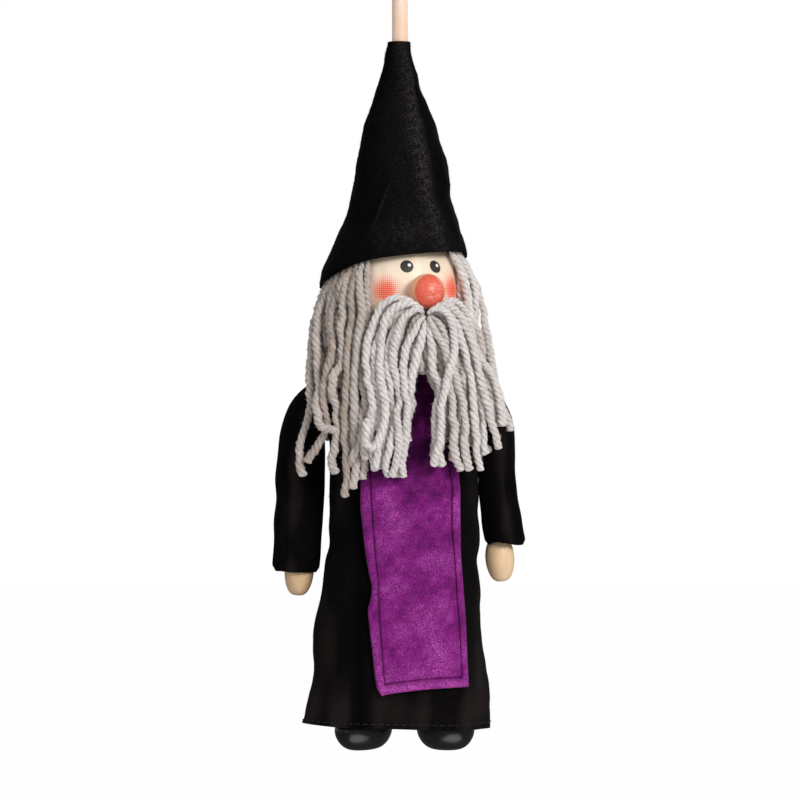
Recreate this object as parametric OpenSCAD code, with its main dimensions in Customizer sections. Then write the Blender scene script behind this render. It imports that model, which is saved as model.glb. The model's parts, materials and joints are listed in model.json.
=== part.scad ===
// Rod puppet of a bearded wizard: turned wooden head, hands and shoes, felt hat and robe, yarn hair.
// Millimetres. The rod's top end is the origin, +Z is up, and the robe faces -Y.
// Left and right are the viewer's, so left is -X.

/* [Control rod] */
// Diameter of the wooden rod
rod_d = 8; // [6:0.5:9]
// Length of the rod from its top end down to the tip of the hat
rod_free = 178; // [120:1:260]
// Depth of the rod's seat in the head
rod_seat = 27.5; // [15:0.5:32]

/* [Head] */
// Diameter of the egg-shaped head
head_d = 60; // [56:0.5:61]
// Height of the full egg, before its foot is cut flat
head_h = 67; // [62:1:70]
// Height cut off the bottom of the egg
head_foot = 4; // [2:0.5:5]
// Angle that the face is turned away from the front of the robe
head_yaw = 23; // [10:1:30]
// Diameter of the ball nose
nose_d = 17.5; // [12:0.5:20]
// Depth of the nose ball's seat in the head
nose_sink = 3.2; // [1.5:0.1:5]
// Height of the nose above the middle of the head
nose_rise = 3; // [-2:0.5:6]
// Diameter of the nose's peg
nose_peg_d = 6; // [3:0.5:7]
// Length of the nose's peg inside the head
nose_peg_l = 9; // [5:1:11]

/* [Hat] */
// Distance from the tip of the hat down to the top of the head
hat_over_head = 94.5; // [70:0.5:120]
// Mean distance from the top of the head down to the edge of the hat
hat_drop = 20; // [16:1:24]
// Distance from the side of the head out to the edge of the hat
hat_over_side = 7.5; // [7:0.5:12]
// Height by which the edge of the hat rises and falls about its mean
hat_tilt = 9.5; // [4:0.5:12]
// Distance that the edge of the hat sits back from the rod
hat_back = 5; // [2:0.5:5.5]
// Thickness of the hat's felt
hat_wall = 1; // [0.8:0.1:1.6]

/* [Hair and beard] */
// Length of the left hair below the middle of the head
hair_left_l = 88; // [60:1:100]
// Length of the right hair below the middle of the head
hair_right_l = 77; // [60:1:100]
// Length of the back hair below the middle of the head
hair_back_l = 88; // [60:1:100]
// Thickness of the yarn at the back and sides
hair_t = 6; // [4:0.5:8]
// Length of the left half of the beard below the middle of the head
beard_left_l = 94; // [60:1:110]
// Length of the right half of the beard below the middle of the head
beard_right_l = 86; // [60:1:110]
// Thickness of the beard from front to back
beard_t = 8; // [6:0.5:12]

/* [Torso] */
// Length of the shoulder board
board_l = 84; // [78:1:88]
// Width of the shoulder board from front to back
board_w = 24; // [18:1:28]
// Thickness of the shoulder board
board_t = 9; // [8:0.5:12]
// Depth of the shoulder eyes below the top of the board
shoulder_eye_down = 5.3; // [4:0.1:6]
// Height of the turned body under the board
body_h = 74; // [66:1:80]
// Diameter of the turned body at its top
body_top_d = 36; // [28:1:44]
// Diameter of the turned body at its foot
body_foot_d = 55; // [50:1:58]

/* [Arms] */
// Diameter of the arm dowels
arm_d = 9; // [6:0.5:10]
// Length of the left arm from its shoulder ring to the tip of the hand
left_arm_l = 96; // [88:1:110]
// Length of the right arm from its shoulder ring to the tip of the hand
right_arm_l = 89; // [80:1:110]
// Angle at which the arms hang away from the body
arm_lean = 4; // [1:0.5:5]
// Diameter of the hands
hand_d = 14.5; // [12:0.5:18]
// Height of the hands
hand_h = 24; // [18:0.5:28]
// Length of the left sleeve below the top of the shoulder
left_sleeve_l = 94; // [70:1:97]
// Length of the right sleeve below the top of the shoulder
right_sleeve_l = 81; // [66:1:84]
// Width of the left sleeve
left_sleeve_w = 23.4; // [20:0.2:25]
// Width of the right sleeve
right_sleeve_w = 20.8; // [19:0.2:24]
// Distance that the left cuff hangs out from the armpit
left_cuff_out = 4; // [2:0.2:6]
// Distance that the right cuff hangs out from the armpit
right_cuff_out = 5.8; // [3:0.2:7]
// Depth of the sleeves from front to back
sleeve_t = 20.4; // [17:0.2:24]
// Thickness of the sleeves' felt
sleeve_wall = 1.2; // [0.8:0.1:1.6]

/* [Legs] */
// Diameter of the leg dowels
leg_d = 9; // [6:0.5:10]
// Distance of each leg from the middle of the body
leg_x = 20.5; // [18:0.5:22]
// Angle at which the legs hang to the right
leg_lean = 1.5; // [0:0.1:2]
// Length of the leg dowels
leg_l = 78; // [60:1:90]
// Length of a shoe
shoe_l = 39; // [32:0.5:41]
// Width of a shoe
shoe_w = 25; // [20:0.5:27]
// Height of a shoe
shoe_h = 19; // [15:0.5:22]
// Angle at which the toes point outwards
toe_out = 28; // [10:1:35]
// Depth of the leg's seat in the shoe
shoe_seat = 8; // [5:0.5:11]

/* [Robe] */
// Half of the width of the robe at the chest
robe_chest_w = 36; // [34:0.5:38]
// Half of the width of the robe at the foot of the body
robe_hip_w = 37.5; // [36:0.5:40]
// Half of the width of the robe at the hem
robe_hem_w = 46.6; // [44:0.2:56]
// Half of the depth of the robe at the hem
robe_hem_d = 37; // [35:0.5:40]
// Length of the robe from the top of the shoulder board to the hem
robe_l = 171; // [160:1:176]
// Depth of the folds at the hem
robe_fold = 1.4; // [0:0.1:2]
// Thickness of the robe's felt
robe_wall = 1.3; // [0.8:0.1:2]
// Slack between the robe and the turned body inside it
robe_ease = 1.4; // [1:0.1:3]

/* [Front panel] */
// Width of the purple panel at the chest
panel_top_w = 49; // [36:1:52]
// Width of the purple panel at its bottom edge
panel_foot_w = 44; // [36:1:50]
// Length of the purple panel from the shoulders
panel_l = 153; // [120:1:158]
// Distance that the bottom edge hangs to the right of the middle
panel_shift = 12; // [4:0.5:12.5]
// Height by which the bottom edge rises to the right
panel_rise = 4; // [0:0.5:6]
// Thickness of the panel's felt
panel_t = 1.3; // [0.8:0.1:2]
// Width of the panel's turned and stitched edge
panel_edge = 4.5; // [3:0.5:7]

/* [Screw eyes and rings] */
// Diameter of the wire of the screw eyes and rings
wire_d = 1.1; // [0.8:0.1:1.2]
// Diameter of the loops, measured at the middle of the wire
loop_d = 4; // [3.9:0.1:4.6]
// Length of the screws in the limbs and the body
screw_l = 9; // [6:0.5:12]
// Length of the neck's screw, which runs through the shoulder board into the body
neck_screw_l = 20; // [14:0.5:24]

/* [Hidden] */

// Clearances: a glued joint, wire against wire, and cloth or yarn against what carries it
glue_gap = 0.05;
wire_gap = 0.1;
cloth_gap = 0.35;
// Amount by which a cut runs past the face that it opens
over = 1;

// Colours
beech = "#e3c49c";
steel = "#b9bcc0";
black_felt = "#17161a";
purple_felt = "#8c2f92";
grey_yarn = "#b7b0ae";
nose_red = "#e2604f";
black_paint = "#232323";

// Heights, downwards from the rod's top end
rod_l = rod_free + hat_over_head + rod_seat;
z_tip = -rod_free;
z_head_top = z_tip - hat_over_head;
z_head = z_head_top - head_h / 2;
z_head_foot = z_head - head_h / 2 + head_foot;

// A screw eye's loop hangs this far below the wood that it is screwed into
eye_r = loop_d / 2 + wire_d / 2;
eye_drop = eye_r + loop_d / 2;
// Wire in wire: the middle of one wire lies this far from the middle of the other
link_step = wire_d + wire_gap;
// From a loop's low wire to the low wire of the ring that hangs in it
ring_drop = loop_d - link_step;
// From a ring's low wire to the wood under the next screw eye
tail_drop = loop_d / 2 - link_step + eye_r;

// Neck: the head's eye, two rings and the board's eye
z_neck_nod = z_head_foot - eye_drop;
z_neck_tilt = z_neck_nod - ring_drop;
z_neck_turn = z_neck_tilt - ring_drop;
z_board = z_neck_turn - tail_drop;
z_body = z_board - board_t;
z_body_foot = z_body - body_h;

// Shoulders: the eye lies flat in the end of the board, and its loop carries the ring
shoulder_x = board_l / 2 + eye_r;
z_shoulder_eye = z_board - shoulder_eye_down;
z_shoulder_swing = z_shoulder_eye - loop_d / 2;
z_shoulder_raise = z_shoulder_swing - ring_drop;

// Hips
z_hip_swing = z_body_foot - eye_drop;
z_hip_splay = z_hip_swing - ring_drop;

// Nose: how far its ball stands from the rod's line
head_r_at_nose = head_d / 2 * sqrt(1 - pow(nose_rise / (head_h / 2), 2));
nose_reach = head_r_at_nose - nose_sink + nose_d / 2;

// Pilot hole of a screw
pilot_d = wire_d + 2 * glue_gap;

// Number of corners round a hat, a robe and a sleeve, and along a layer of yarn
hat_n = 32;
robe_n = 36;
sleeve_n = 20;
yarn_n = 16;

$fn = 48;

// Functions and modules for skinned shapes

// Signed power, for rounded rectangles
function spow(v, e) = sign(v) * pow(abs(v), e);

// Smooth step from 0 to 1
function ease(t) = let (c = min(1, max(0, t))) c * c * (3 - 2 * c);

// Value at parameter t, from 0 to 1, on a smooth curve through evenly spaced rows of numbers
function through(rows, t) =
    let (
        n = len(rows) - 1,
        s = min(n - 0.000001, max(0, t * n)),
        i = floor(s),
        f = s - i,
        a = rows[max(0, i - 1)],
        b = rows[i],
        c = rows[i + 1],
        d = rows[min(n, i + 2)]
    )
    0.5 * (2 * b + (c - a) * f + (2 * a - 5 * b + 4 * c - d) * f * f
        + (3 * b - a - 3 * c + d) * f * f * f);

// Triangles over a stack of closed loops, which run anticlockwise seen from above, top loop first
function skin_sides(m, n, rows) = [
    for (i = [0:rows - 1], j = [0:n - 1])
        let (
            k = (i + 1) % m,
            l = (j + 1) % n
        )
        each [[i * n + j, i * n + l, k * n + l], [i * n + j, k * n + l, k * n + j]]
];

function middle(loop) = [for (k = [0:2]) [for (p = loop) p[k]] * [for (p = loop) 1] / len(loop)];

// Solid through a stack of loops with its two ends closed by fans
module skin(loops) {
    m = len(loops);
    n = len(loops[0]);
    points = concat([for (l = loops) each l], [middle(loops[0]), middle(loops[m - 1])]);
    ends = [for (j = [0:n - 1]) each [
        [m * n, (j + 1) % n, j],
        [m * n + 1, (m - 1) * n + j, (m - 1) * n + (j + 1) % n]
    ]];
    polyhedron(points, concat(skin_sides(m, n, m - 1), ends), convexity = 8);
}

// Solid through a stack of bands. Each loop runs along the front of its band and back along the
// rear, and the two ends are closed by strips between the front and the rear.
module skin_bands(loops) {
    m = len(loops);
    n = len(loops[0]);
    low = (m - 1) * n;
    ends = [for (j = [0:n / 2 - 2])
        let (k = n - 1 - j)
        each [
            [j, k, j + 1],
            [k, k - 1, j + 1],
            [low + j, low + j + 1, low + k],
            [low + k, low + j + 1, low + k - 1]
        ]
    ];
    polyhedron([for (l = loops) each l], concat(skin_sides(m, n, m - 1), ends), convexity = 8);
}

// Cloth tube: the loops run down the outside and back up the inside
module cloth(loops) {
    polyhedron([for (l = loops) each l], skin_sides(len(loops), len(loops[0]), len(loops)), convexity = 8);
}

// Radius of the head at a height above its middle, and its full radius below that
function scalp(z) = head_d / 2 * sqrt(1 - pow(max(0, z - z_head) / (head_h / 2 + cloth_gap), 2));

// Depth of the ripples that the strands make in the outside of the yarn
yarn_ripple = 0.45;

// Layer of yarn hung round the head. A row is [height, middle bearing, half angle, distance of the
// outside beyond the head to the right and left, the same to the front and back, thickness]. A
// bearing is 0 at the front and 90 at the right. The outside is rippled as the strands are.
function yarn_loop(row, ripple) =
    let (
        wide = scalp(row[0]) + row[3],
        deep = scalp(row[0]) + row[4]
    )
    concat(
        [for (i = [0:yarn_n])
            let (
                b = row[1] - row[2] + 2 * row[2] * i / yarn_n,
                r = ripple * cos(180 * i)
            )
            [(wide + r) * sin(b), -(deep + r) * cos(b), row[0]]
        ],
        [for (i = [0:yarn_n])
            let (b = row[1] + row[2] - 2 * row[2] * i / yarn_n)
            [(wide - row[5]) * sin(b), -(deep - row[5]) * cos(b), row[0]]
        ]
    );

module yarn_layer(rows, steps) {
    color(grey_yarn)
        skin_bands([for (i = [0:steps]) yarn_loop(through(rows, i / steps), yarn_ripple)]);
}

// Wire parts

// Screw eye: the loop's middle is at the origin, in the XZ plane, and the screw points up
module screw_eye(screw = screw_l) {
    point_l = 1.2;
    color(steel) {
        rotate([90, 0, 0])
            rotate_extrude()
                translate([loop_d / 2, 0])
                    circle(d = wire_d, $fn = 24);
        translate([0, 0, loop_d / 2])
            cylinder(d = wire_d, h = eye_r - loop_d / 2 + screw - point_l, $fn = 24);
        translate([0, 0, eye_r + screw - point_l])
            cylinder(d1 = wire_d, d2 = wire_d / 4, h = point_l, $fn = 24);
    }
}

// Ring: its low wire is at the origin, in the YZ plane
module link_ring() {
    color(steel)
        translate([0, 0, loop_d / 2])
            rotate([0, 90, 0])
                rotate_extrude()
                    translate([loop_d / 2, 0])
                        circle(d = wire_d, $fn = 24);
}

// Pilot hole for a screw, running up from the origin
module pilot(screw = screw_l) {
    translate([0, 0, -over])
        cylinder(d = pilot_d, h = screw + glue_gap + over, $fn = 24);
}

// Head, rod and nose

module control_rod() {
    groove_w = 1.2;
    groove_t = 0.4;
    edge = 0.8;
    color(beech)
        rotate_extrude()
            polygon([
                [0, 0],
                [rod_d / 2, 0],
                [rod_d / 2, z_tip],
                [rod_d / 2 - groove_t, z_tip - groove_t],
                [rod_d / 2 - groove_t, z_tip - groove_w + groove_t],
                [rod_d / 2, z_tip - groove_w],
                [rod_d / 2, -rod_l + edge],
                [rod_d / 2 - edge, -rod_l],
                [0, -rod_l]
            ]);
}

// Half outline of an egg of half width r and half height h, cut off at the two heights
function egg_outline(r, h, low, high, steps) = concat(
    [[0, low]],
    [for (i = [0:steps])
        let (z = low + (high - low) * (1 - cos(180 * i / steps)) / 2)
        [r * sqrt(max(0, 1 - pow(z / h, 2))), z]
    ],
    high < h ? [[0, high]] : []
);

module head() {
    color(beech)
        difference() {
            translate([0, 0, z_head])
                rotate_extrude()
                    polygon(egg_outline(head_d / 2, head_h / 2, -head_h / 2 + head_foot, head_h / 2, 36));
            translate([0, 0, z_head_top - rod_seat])
                cylinder(d = rod_d + 2 * glue_gap, h = rod_seat + over);
            nose_place() {
                sphere(d = nose_d + 2 * glue_gap);
                rotate([-90, 0, 0])
                    cylinder(d = nose_peg_d + 2 * glue_gap, h = nose_d / 2 + nose_peg_l + glue_gap);
            }
            translate([0, 0, z_head_foot])
                pilot();
        }
}

// Puts its children at the nose, with the inside of the head towards +Y
module nose_place() {
    rotate([0, 0, head_yaw])
        translate([0, -nose_reach, z_head + nose_rise])
            children();
}

module nose() {
    color(nose_red)
        nose_place() {
            sphere(d = nose_d);
            rotate([-90, 0, 0])
                cylinder(d = nose_peg_d, h = nose_d / 2 + nose_peg_l);
        }
}

// Hat

hat_tip_r = rod_d / 2 + cloth_gap + hat_wall;
hat_half_w = head_d / 2 + hat_over_side;

// Radius beyond that of the tip, at even steps down the hat
hat_flare = [0, 2.4, 7, 11.7, 15.5, 18.1, 21.8, 27, hat_half_w - hat_tip_r];

// Height of the edge of the hat: it is highest over the viewer's right cheek
function hat_edge(a) = z_head_top - hat_drop + hat_tilt * cos(a + 41);

function hat_loop(t, inset) = [
    for (j = [0:hat_n - 1])
        let (
            a = 360 * j / hat_n,
            r = hat_tip_r + through(hat_flare, t) - inset,
            b = hat_back * t * t
        )
        [r * cos(a) - b * sin(head_yaw), r * sin(a) + b * cos(head_yaw), z_tip + (hat_edge(a) - z_tip) * t]
];

module hat() {
    rows = 14;
    color(black_felt)
        cloth(concat(
            [for (i = [0:rows]) hat_loop(i / rows, 0)],
            [for (i = [rows:-1:0]) hat_loop(i / rows, hat_wall)]
        ));
}

// Hair and beard

// The yarn starts under the hat, this far above the middle of the head
hair_rise = 25;

function hair_z(t, length) = z_head + hair_rise - (hair_rise + length) * t;

module hair_left() {
    z = function(t) hair_z(t, hair_left_l);
    yarn_layer([
        [z(0), head_yaw - 89, 38, 5, 4.5, 4.2],
        [z(0.2), head_yaw - 88, 38, 8, 5.5, 4.6],
        [z(0.4), head_yaw - 97, 33, 14, 9, hair_t],
        [z(0.6), -57, 14, 20, 17, hair_t],
        [z(0.8), -56, 13.5, 24, 18, hair_t],
        [z(1), -55, 12, 24, 18, hair_t - 1.5]
    ], 12);
}

module hair_right() {
    z = function(t) hair_z(t, hair_right_l);
    yarn_layer([
        [z(0), head_yaw + 80, 34, 5, 5, 4.6],
        [z(0.2), head_yaw + 80, 34, 9, 6, 5],
        [z(0.4), head_yaw + 73, 30, 15, 10, hair_t],
        [z(0.6), 68, 7, 20, 18, hair_t - 1],
        [z(0.8), 68, 7, 25, 23, hair_t],
        [z(1), 68, 7, 28, 26, hair_t - 1.5]
    ], 12);
}

module hair_back() {
    z = function(t) hair_z(t, hair_back_l);
    yarn_layer([
        [z(0), head_yaw + 175, 54, 6, 6, 5],
        [z(0.25), head_yaw + 174, 56, 7, 7, 4.5],
        [z(0.5), 187, 54, 10, 9, hair_t],
        [z(0.75), 184, 48, 11, 9, hair_t],
        [z(1), 183, 46, 12, 9, hair_t - 1.5]
    ], 12);
}

// The beard is tied to the head under the nose
knot_w = 4.4;
knot_t = 6;
knot_h = 7;
z_knot = z_head + nose_rise - nose_d / 2 - cloth_gap - knot_h / 2;
knot_reach = head_d / 2 * sqrt(1 - pow((z_head - z_knot - knot_h / 2) / (head_h / 2), 2)) + cloth_gap;
knot_x = (knot_reach + knot_t / 2) * sin(head_yaw);
knot_y = -(knot_reach + knot_t / 2) * cos(head_yaw);

module beard_knot() {
    color(grey_yarn)
        rotate([0, 0, head_yaw])
            translate([-knot_w / 2, -knot_reach - knot_t, z_knot - knot_h / 2])
                cube([knot_w, knot_t, knot_h]);
}

// Beard row: [height, left end, right end, middle of its depth, half depth, how far its left end
// lies back, and how far its right end does]
beard_n = 13;

function beard_loop(row, ripple) = [
    for (j = [0:2 * beard_n - 1])
        let (
            back = j >= beard_n,
            s = back ? (2 * beard_n - 1 - j) / (beard_n - 1) : j / (beard_n - 1),
            x = row[1] + (row[2] - row[1]) * s,
            y = row[3] + row[5] * pow(1 - s, 2) + row[6] * s * s,
            crown = row[4] * (0.45 + 0.55 * sin(180 * s)),
            r = back ? 0 : ripple * cos(180 * j)
        )
        [x, y + (back ? crown : -crown - r), row[0]]
];

module beard_layer(rows, steps) {
    color(grey_yarn)
        skin_bands([for (i = [0:steps]) beard_loop(through(rows, i / steps), yarn_ripple)]);
}

// How far the knot reaches to each side of its middle
knot_side = knot_w / 2 * cos(head_yaw) + knot_t / 2 * sin(head_yaw) + cloth_gap;

module beard_left() {
    z = function(t) z_knot - (beard_left_l + z_knot - z_head) * t;
    h = beard_t / 2;
    side = knot_x - knot_side;
    low = z_knot - knot_h / 2 - 0.3;
    beard_layer([
        [z_knot + 7.5, side - 9, side - 4, knot_y - 3.5, h * 0.4, 0.5, 0],
        [z_knot + 3.5, side - 16, side - 0.5, knot_y - 4.2, h * 0.75, 2.5, 0],
        [low, side - 22, side, knot_y - 4, h * 0.9, 5, 0],
        [low - 5, side - 24, knot_x - 0.2, knot_y - 3.5, h, 5, 0],
        [z(0.28), side - 28, knot_x, knot_y - 3, h, 5, 0],
        [z(0.46), side - 33, knot_x, knot_y - 3, h, 4, 0],
        [z(0.63), side - 34.5, knot_x - 3.5, knot_y - 3.5, h, 3, 0],
        [z(0.82), side - 33, knot_x - 7, knot_y - 4, h * 0.9, 2, 0],
        [z(1), side - 31, knot_x - 9, knot_y - 4.5, h * 0.7, 2, 0]
    ], 14);
}

module beard_right() {
    z = function(t) z_knot - (beard_right_l + z_knot - z_head) * t;
    h = beard_t / 2;
    side = knot_x + knot_side;
    low = z_knot - knot_h / 2 - 0.3;
    mid = knot_x + cloth_gap;
    beard_layer([
        [z_knot + 7, side + 6, side + 12, knot_y + 4.5, h * 0.4, -1, 2],
        [z_knot + 3, side + 1, side + 17, knot_y + 3.5, h * 0.75, -3.5, 5],
        [low, side, side + 20, knot_y + 3, h * 0.9, -4, 8],
        [low - 5, mid, side + 20.3, knot_y + 2.5, h, -4, 8],
        [z(0.28), mid, side + 20.5, knot_y + 2, h, -4, 7],
        [z(0.46), mid + 0.5, side + 21, knot_y + 0.5, h, -3, 5],
        [z(0.63), mid + 3, side + 23, knot_y - 1.5, h, -2.5, 4],
        [z(0.82), mid + 4, side + 27, knot_y - 3, h * 0.9, -2, 3],
        [z(1), mid + 4, side + 29, knot_y - 4.5, h * 0.7, -1, 3]
    ], 14);
}

// Neck

module head_eye() {
    rotate([0, 0, head_yaw])
        translate([0, 0, z_head_foot - eye_r])
            screw_eye();
}

module neck_ring_upper() {
    rotate([0, 0, head_yaw])
        translate([0, 0, z_neck_tilt])
            link_ring();
}

module neck_ring_lower() {
    rotate([0, 0, head_yaw + 90])
        translate([0, 0, z_neck_turn])
            link_ring();
}

module neck_eye() {
    translate([0, 0, z_board + eye_r])
        rotate([0, 0, 90])
            mirror([0, 0, 1])
                screw_eye(neck_screw_l);
}

module neck_pilot() {
    translate([0, 0, z_board])
        mirror([0, 0, 1])
            pilot(neck_screw_l);
}

// Torso

module shoulder_board() {
    end_r = board_w / 2;
    color(beech)
        difference() {
            translate([0, 0, z_board - board_t])
                union() {
                    translate([-board_l / 2 + end_r, -board_w / 2, 0])
                        cube([board_l - 2 * end_r, board_w, board_t]);
                    for (s = [-1, 1])
                        translate([s * (board_l / 2 - end_r), 0, 0])
                            cylinder(r = end_r, h = board_t);
                }
            neck_pilot();
            for (s = [0, 1])
                mirror([s, 0, 0])
                    translate([board_l / 2, 0, z_shoulder_eye])
                        rotate([0, -90, 0])
                            pilot();
        }
}

// Radius of the turned body at a distance below the top of the board
function body_r(d) = body_top_d / 2 + (body_foot_d - body_top_d) / 2 * ease((d - board_t) / body_h);

module body() {
    round_r = 3;
    steps = 14;
    color(beech)
        difference() {
            translate([0, 0, z_body])
                rotate_extrude()
                    polygon(concat(
                        [[0, 0]],
                        [for (i = [0:5])
                            [body_r(board_t + round_r) - round_r * (1 - sin(18 * i)), -round_r * (1 - cos(18 * i))]
                        ],
                        [for (i = [0:steps])
                            let (d = round_r + (body_h - 2 * round_r) * i / steps)
                            [body_r(board_t + d), -d]
                        ],
                        [for (i = [1:5])
                            [body_r(board_t + body_h - round_r) - round_r * (1 - cos(18 * i)),
                                -body_h + round_r * (1 - sin(18 * i))]
                        ],
                        [[0, -body_h]]
                    ));
            neck_pilot();
            for (s = [-1, 1])
                translate([s * leg_x, 0, z_body_foot])
                    pilot();
        }
}

// Robe

// The robe lies on the board, and its side clears the end of the board by the same gap
robe_lift = cloth_gap + robe_wall;
robe_shoulder_w = board_l / 2 + robe_lift;
robe_square = 2.6;
neck_hole_w = 17;
neck_hole_d = 14.5;

// Half of the robe's depth over the board, and over the body at a distance below the board's top
robe_over_board = board_w / 2 + robe_lift + 4.6;
function robe_over_body(d) = max(robe_over_board, body_r(d) + robe_lift + robe_ease + 0.3);

// Rows of the robe: [distance below the board's top, half width, half depth, share of the folds,
// share of the thickness that lies flat]
below_body = board_t + body_h;
robe_rows = [
    [-robe_lift - 0.3, neck_hole_w, neck_hole_d, 0, 1],
    [-robe_lift - 0.1, robe_shoulder_w - 14, robe_over_board - 2.5, 0, 1],
    [-robe_lift, robe_shoulder_w - 1, robe_over_board - 1, 0, 0.7],
    [1.6, robe_shoulder_w, robe_over_board, 0, 0],
    [board_t, robe_shoulder_w - 0.3, robe_over_body(board_t), 0, 0],
    [board_t + 8, (robe_shoulder_w + robe_chest_w) / 2, robe_over_body(board_t + 8), 0, 0],
    [board_t + 20, robe_chest_w, robe_over_body(board_t + 20), 0.1, 0],
    [board_t + 42, robe_chest_w, robe_over_body(board_t + 42), 0.1, 0],
    [board_t + 60, (robe_chest_w + robe_hip_w) / 2, robe_over_body(board_t + 60), 0.15, 0],
    [below_body, robe_hip_w, robe_over_body(below_body), 0.2, 0],
    [below_body + (robe_l - below_body) * 0.3, robe_hip_w + (robe_hem_w - robe_hip_w) * 0.3,
        robe_over_body(below_body) * 0.7 + robe_hem_d * 0.3, 0.4, 0],
    [below_body + (robe_l - below_body) * 0.66, robe_hip_w + (robe_hem_w - robe_hip_w) * 0.68,
        robe_over_body(below_body) * 0.34 + robe_hem_d * 0.66, 0.7, 0],
    [robe_l, robe_hem_w, robe_hem_d, 1, 0]
];

function robe_row(t) = through(robe_rows, t);

// Share of the way down the rows at which a distance below the board is reached
function robe_t(d, low = 0.2, high = 1, left = 14) =
    let (m = (low + high) / 2)
    left == 0 ? m
    : robe_row(m)[0] < d ? robe_t(d, m, high, left - 1)
    : robe_t(d, low, m, left - 1);

// Folds of the robe against the angle round it
function robe_ripple(a) = (cos(7 * a + 40) + 0.6 * cos(4 * a - 60)) / 1.6;

function robe_loop(t, inset) =
    let (row = robe_row(t))
    [for (j = [0:robe_n - 1])
        let (
            a = 360 * j / robe_n,
            f = robe_fold * row[3] * robe_ripple(a) - inset * (1 - row[4])
        )
        [(row[1] + f) * spow(cos(a), 2 / robe_square),
            (row[2] + f) * spow(sin(a), 2 / robe_square),
            z_board - row[0] - inset * row[4]]
    ];

// The armhole in the side of the robe
armhole_r = 11;
z_armhole = z_board - 1 - armhole_r;
// The cut for it runs from inside the narrow chest to outside the wide shoulder
armhole_cut = 16;

module robe() {
    last = len(robe_rows) - 1;
    steps = [for (i = [0:last]) each i == 2 || i == 5 ? [i, i + 0.5] : [i]] / last;
    loops = len(steps) - 1;
    color(black_felt)
        difference() {
            cloth(concat(
                [for (i = [0:loops]) robe_loop(steps[i], 0)],
                [for (i = [loops:-1:0]) robe_loop(steps[i], robe_wall)]
            ));
            for (s = [0, 1])
                mirror([s, 0, 0])
                    translate([(board_l - armhole_cut) / 2, 0, z_armhole])
                        rotate([0, 90, 0])
                            cylinder(r = armhole_r, h = armhole_cut, $fn = 24);
        }
}

// How far the front of the robe lies before the middle, at a share t and a distance x to the side
function robe_front(x, t) =
    let (
        row = robe_row(t),
        c = min(0.999, abs(x) / row[1]),
        a = 360 - acos(sign(x) * pow(c, robe_square / 2))
    )
    (row[2] + robe_fold * row[3] * robe_ripple(a)) * pow(1 - pow(c, robe_square), 1 / robe_square);

// How far the side of the robe lies out from the middle, at a share t and a distance y to the front
function robe_side(y, t) =
    let (row = robe_row(t))
    (row[1] + robe_fold * row[3]) * pow(1 - pow(min(0.999, abs(y) / row[2]), robe_square), 1 / robe_square);

// Front panel

// Point of the panel, a share s down and a share c across it, and a distance out from the robe
function panel_point(s, c, out) =
    let (
        top = 7,
        d = top + (panel_l - top) * s - panel_rise * s * (c - 0.5),
        half = (panel_top_w + (panel_foot_w - panel_top_w) * s) / 2 * min(1, 0.6 + 2 * s),
        mid = 2 + (panel_shift - 2) * pow(s, 1.2),
        x = mid + half * (2 * c - 1)
    )
    [x, -robe_front(x, robe_t(d)) - out, z_board - d];

module front_panel() {
    rows = 24;
    cols = 10;
    hem_t = 1.6;
    gap = cloth_gap + 0.1;
    color(purple_felt)
        skin_bands([for (i = [0:rows])
            let (hemmed = (1 - i / rows) * panel_l < panel_edge)
            concat(
                [for (j = [0:cols])
                    panel_point(i / rows, j / cols,
                        gap + panel_t * (j == 0 || j == cols || hemmed ? hem_t : 1))
                ],
                [for (j = [cols:-1:0]) panel_point(i / rows, j / cols, gap)]
            )
        ]);
}

// Arms

// Puts its children at a shoulder's lower pivot, with the arm hanging straight down
module arm_place(side) {
    mirror([side < 0 ? 1 : 0, 0, 0])
        translate([shoulder_x, 0, z_shoulder_raise])
            rotate([0, -arm_lean, 0])
                children();
}

module shoulder_eye(side) {
    mirror([side < 0 ? 1 : 0, 0, 0])
        translate([shoulder_x, 0, z_shoulder_eye])
            rotate([0, -90, 0])
                screw_eye();
}

module shoulder_ring(side) {
    translate([side * shoulder_x, 0, z_shoulder_raise])
        link_ring();
}

module arm_eye(side) {
    arm_place(side)
        translate([0, 0, link_step - loop_d / 2])
            mirror([0, 0, 1])
                screw_eye();
}

tenon_d = 5;
tenon_l = 8;

module arm(side, length) {
    round_r = 3;
    shaft_l = length - hand_h - tail_drop;
    color(beech)
        arm_place(side)
            translate([0, 0, -tail_drop])
                difference() {
                    union() {
                        rotate_extrude()
                            polygon(concat(
                                [[0, -shaft_l], [arm_d / 2, -shaft_l]],
                                [for (i = [0:5])
                                    [arm_d / 2 - round_r * (1 - cos(18 * i)), -round_r * (1 - sin(18 * i))]
                                ],
                                [[0, 0]]
                            ));
                        translate([0, 0, -shaft_l - tenon_l])
                            cylinder(d = tenon_d, h = tenon_l + over);
                    }
                    mirror([0, 0, 1])
                        pilot();
                }
}

module hand(side, length) {
    flat = 0.6;
    color(beech)
        arm_place(side)
            translate([0, 0, hand_h / 2 - length])
                difference() {
                    rotate_extrude()
                        polygon(egg_outline(hand_d / 2, hand_h / 2 + flat, -hand_h / 2 - flat,
                            hand_h / 2 - glue_gap, 24));
                    translate([0, 0, hand_h / 2 - tenon_l - glue_gap])
                        cylinder(d = tenon_d + 2 * glue_gap, h = tenon_l + over);
                }
}

// The sleeve's top edge runs round the armhole, along the robe's side, and its tube starts level
// with the armpit and a little way out from the robe
z_sleeve_top = z_board + 0.3;
z_armpit = z_armhole - armhole_r - 3;
armhole_edge = armhole_r + 1.6;
sleeve_off = 1.2;
// The middle of the tube hangs at least this far out from the arm's pivot
sleeve_hang = 3;
// The tube's folds grow to their depth over this length
sleeve_fold = 0.4;
sleeve_fold_l = 30;
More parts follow.
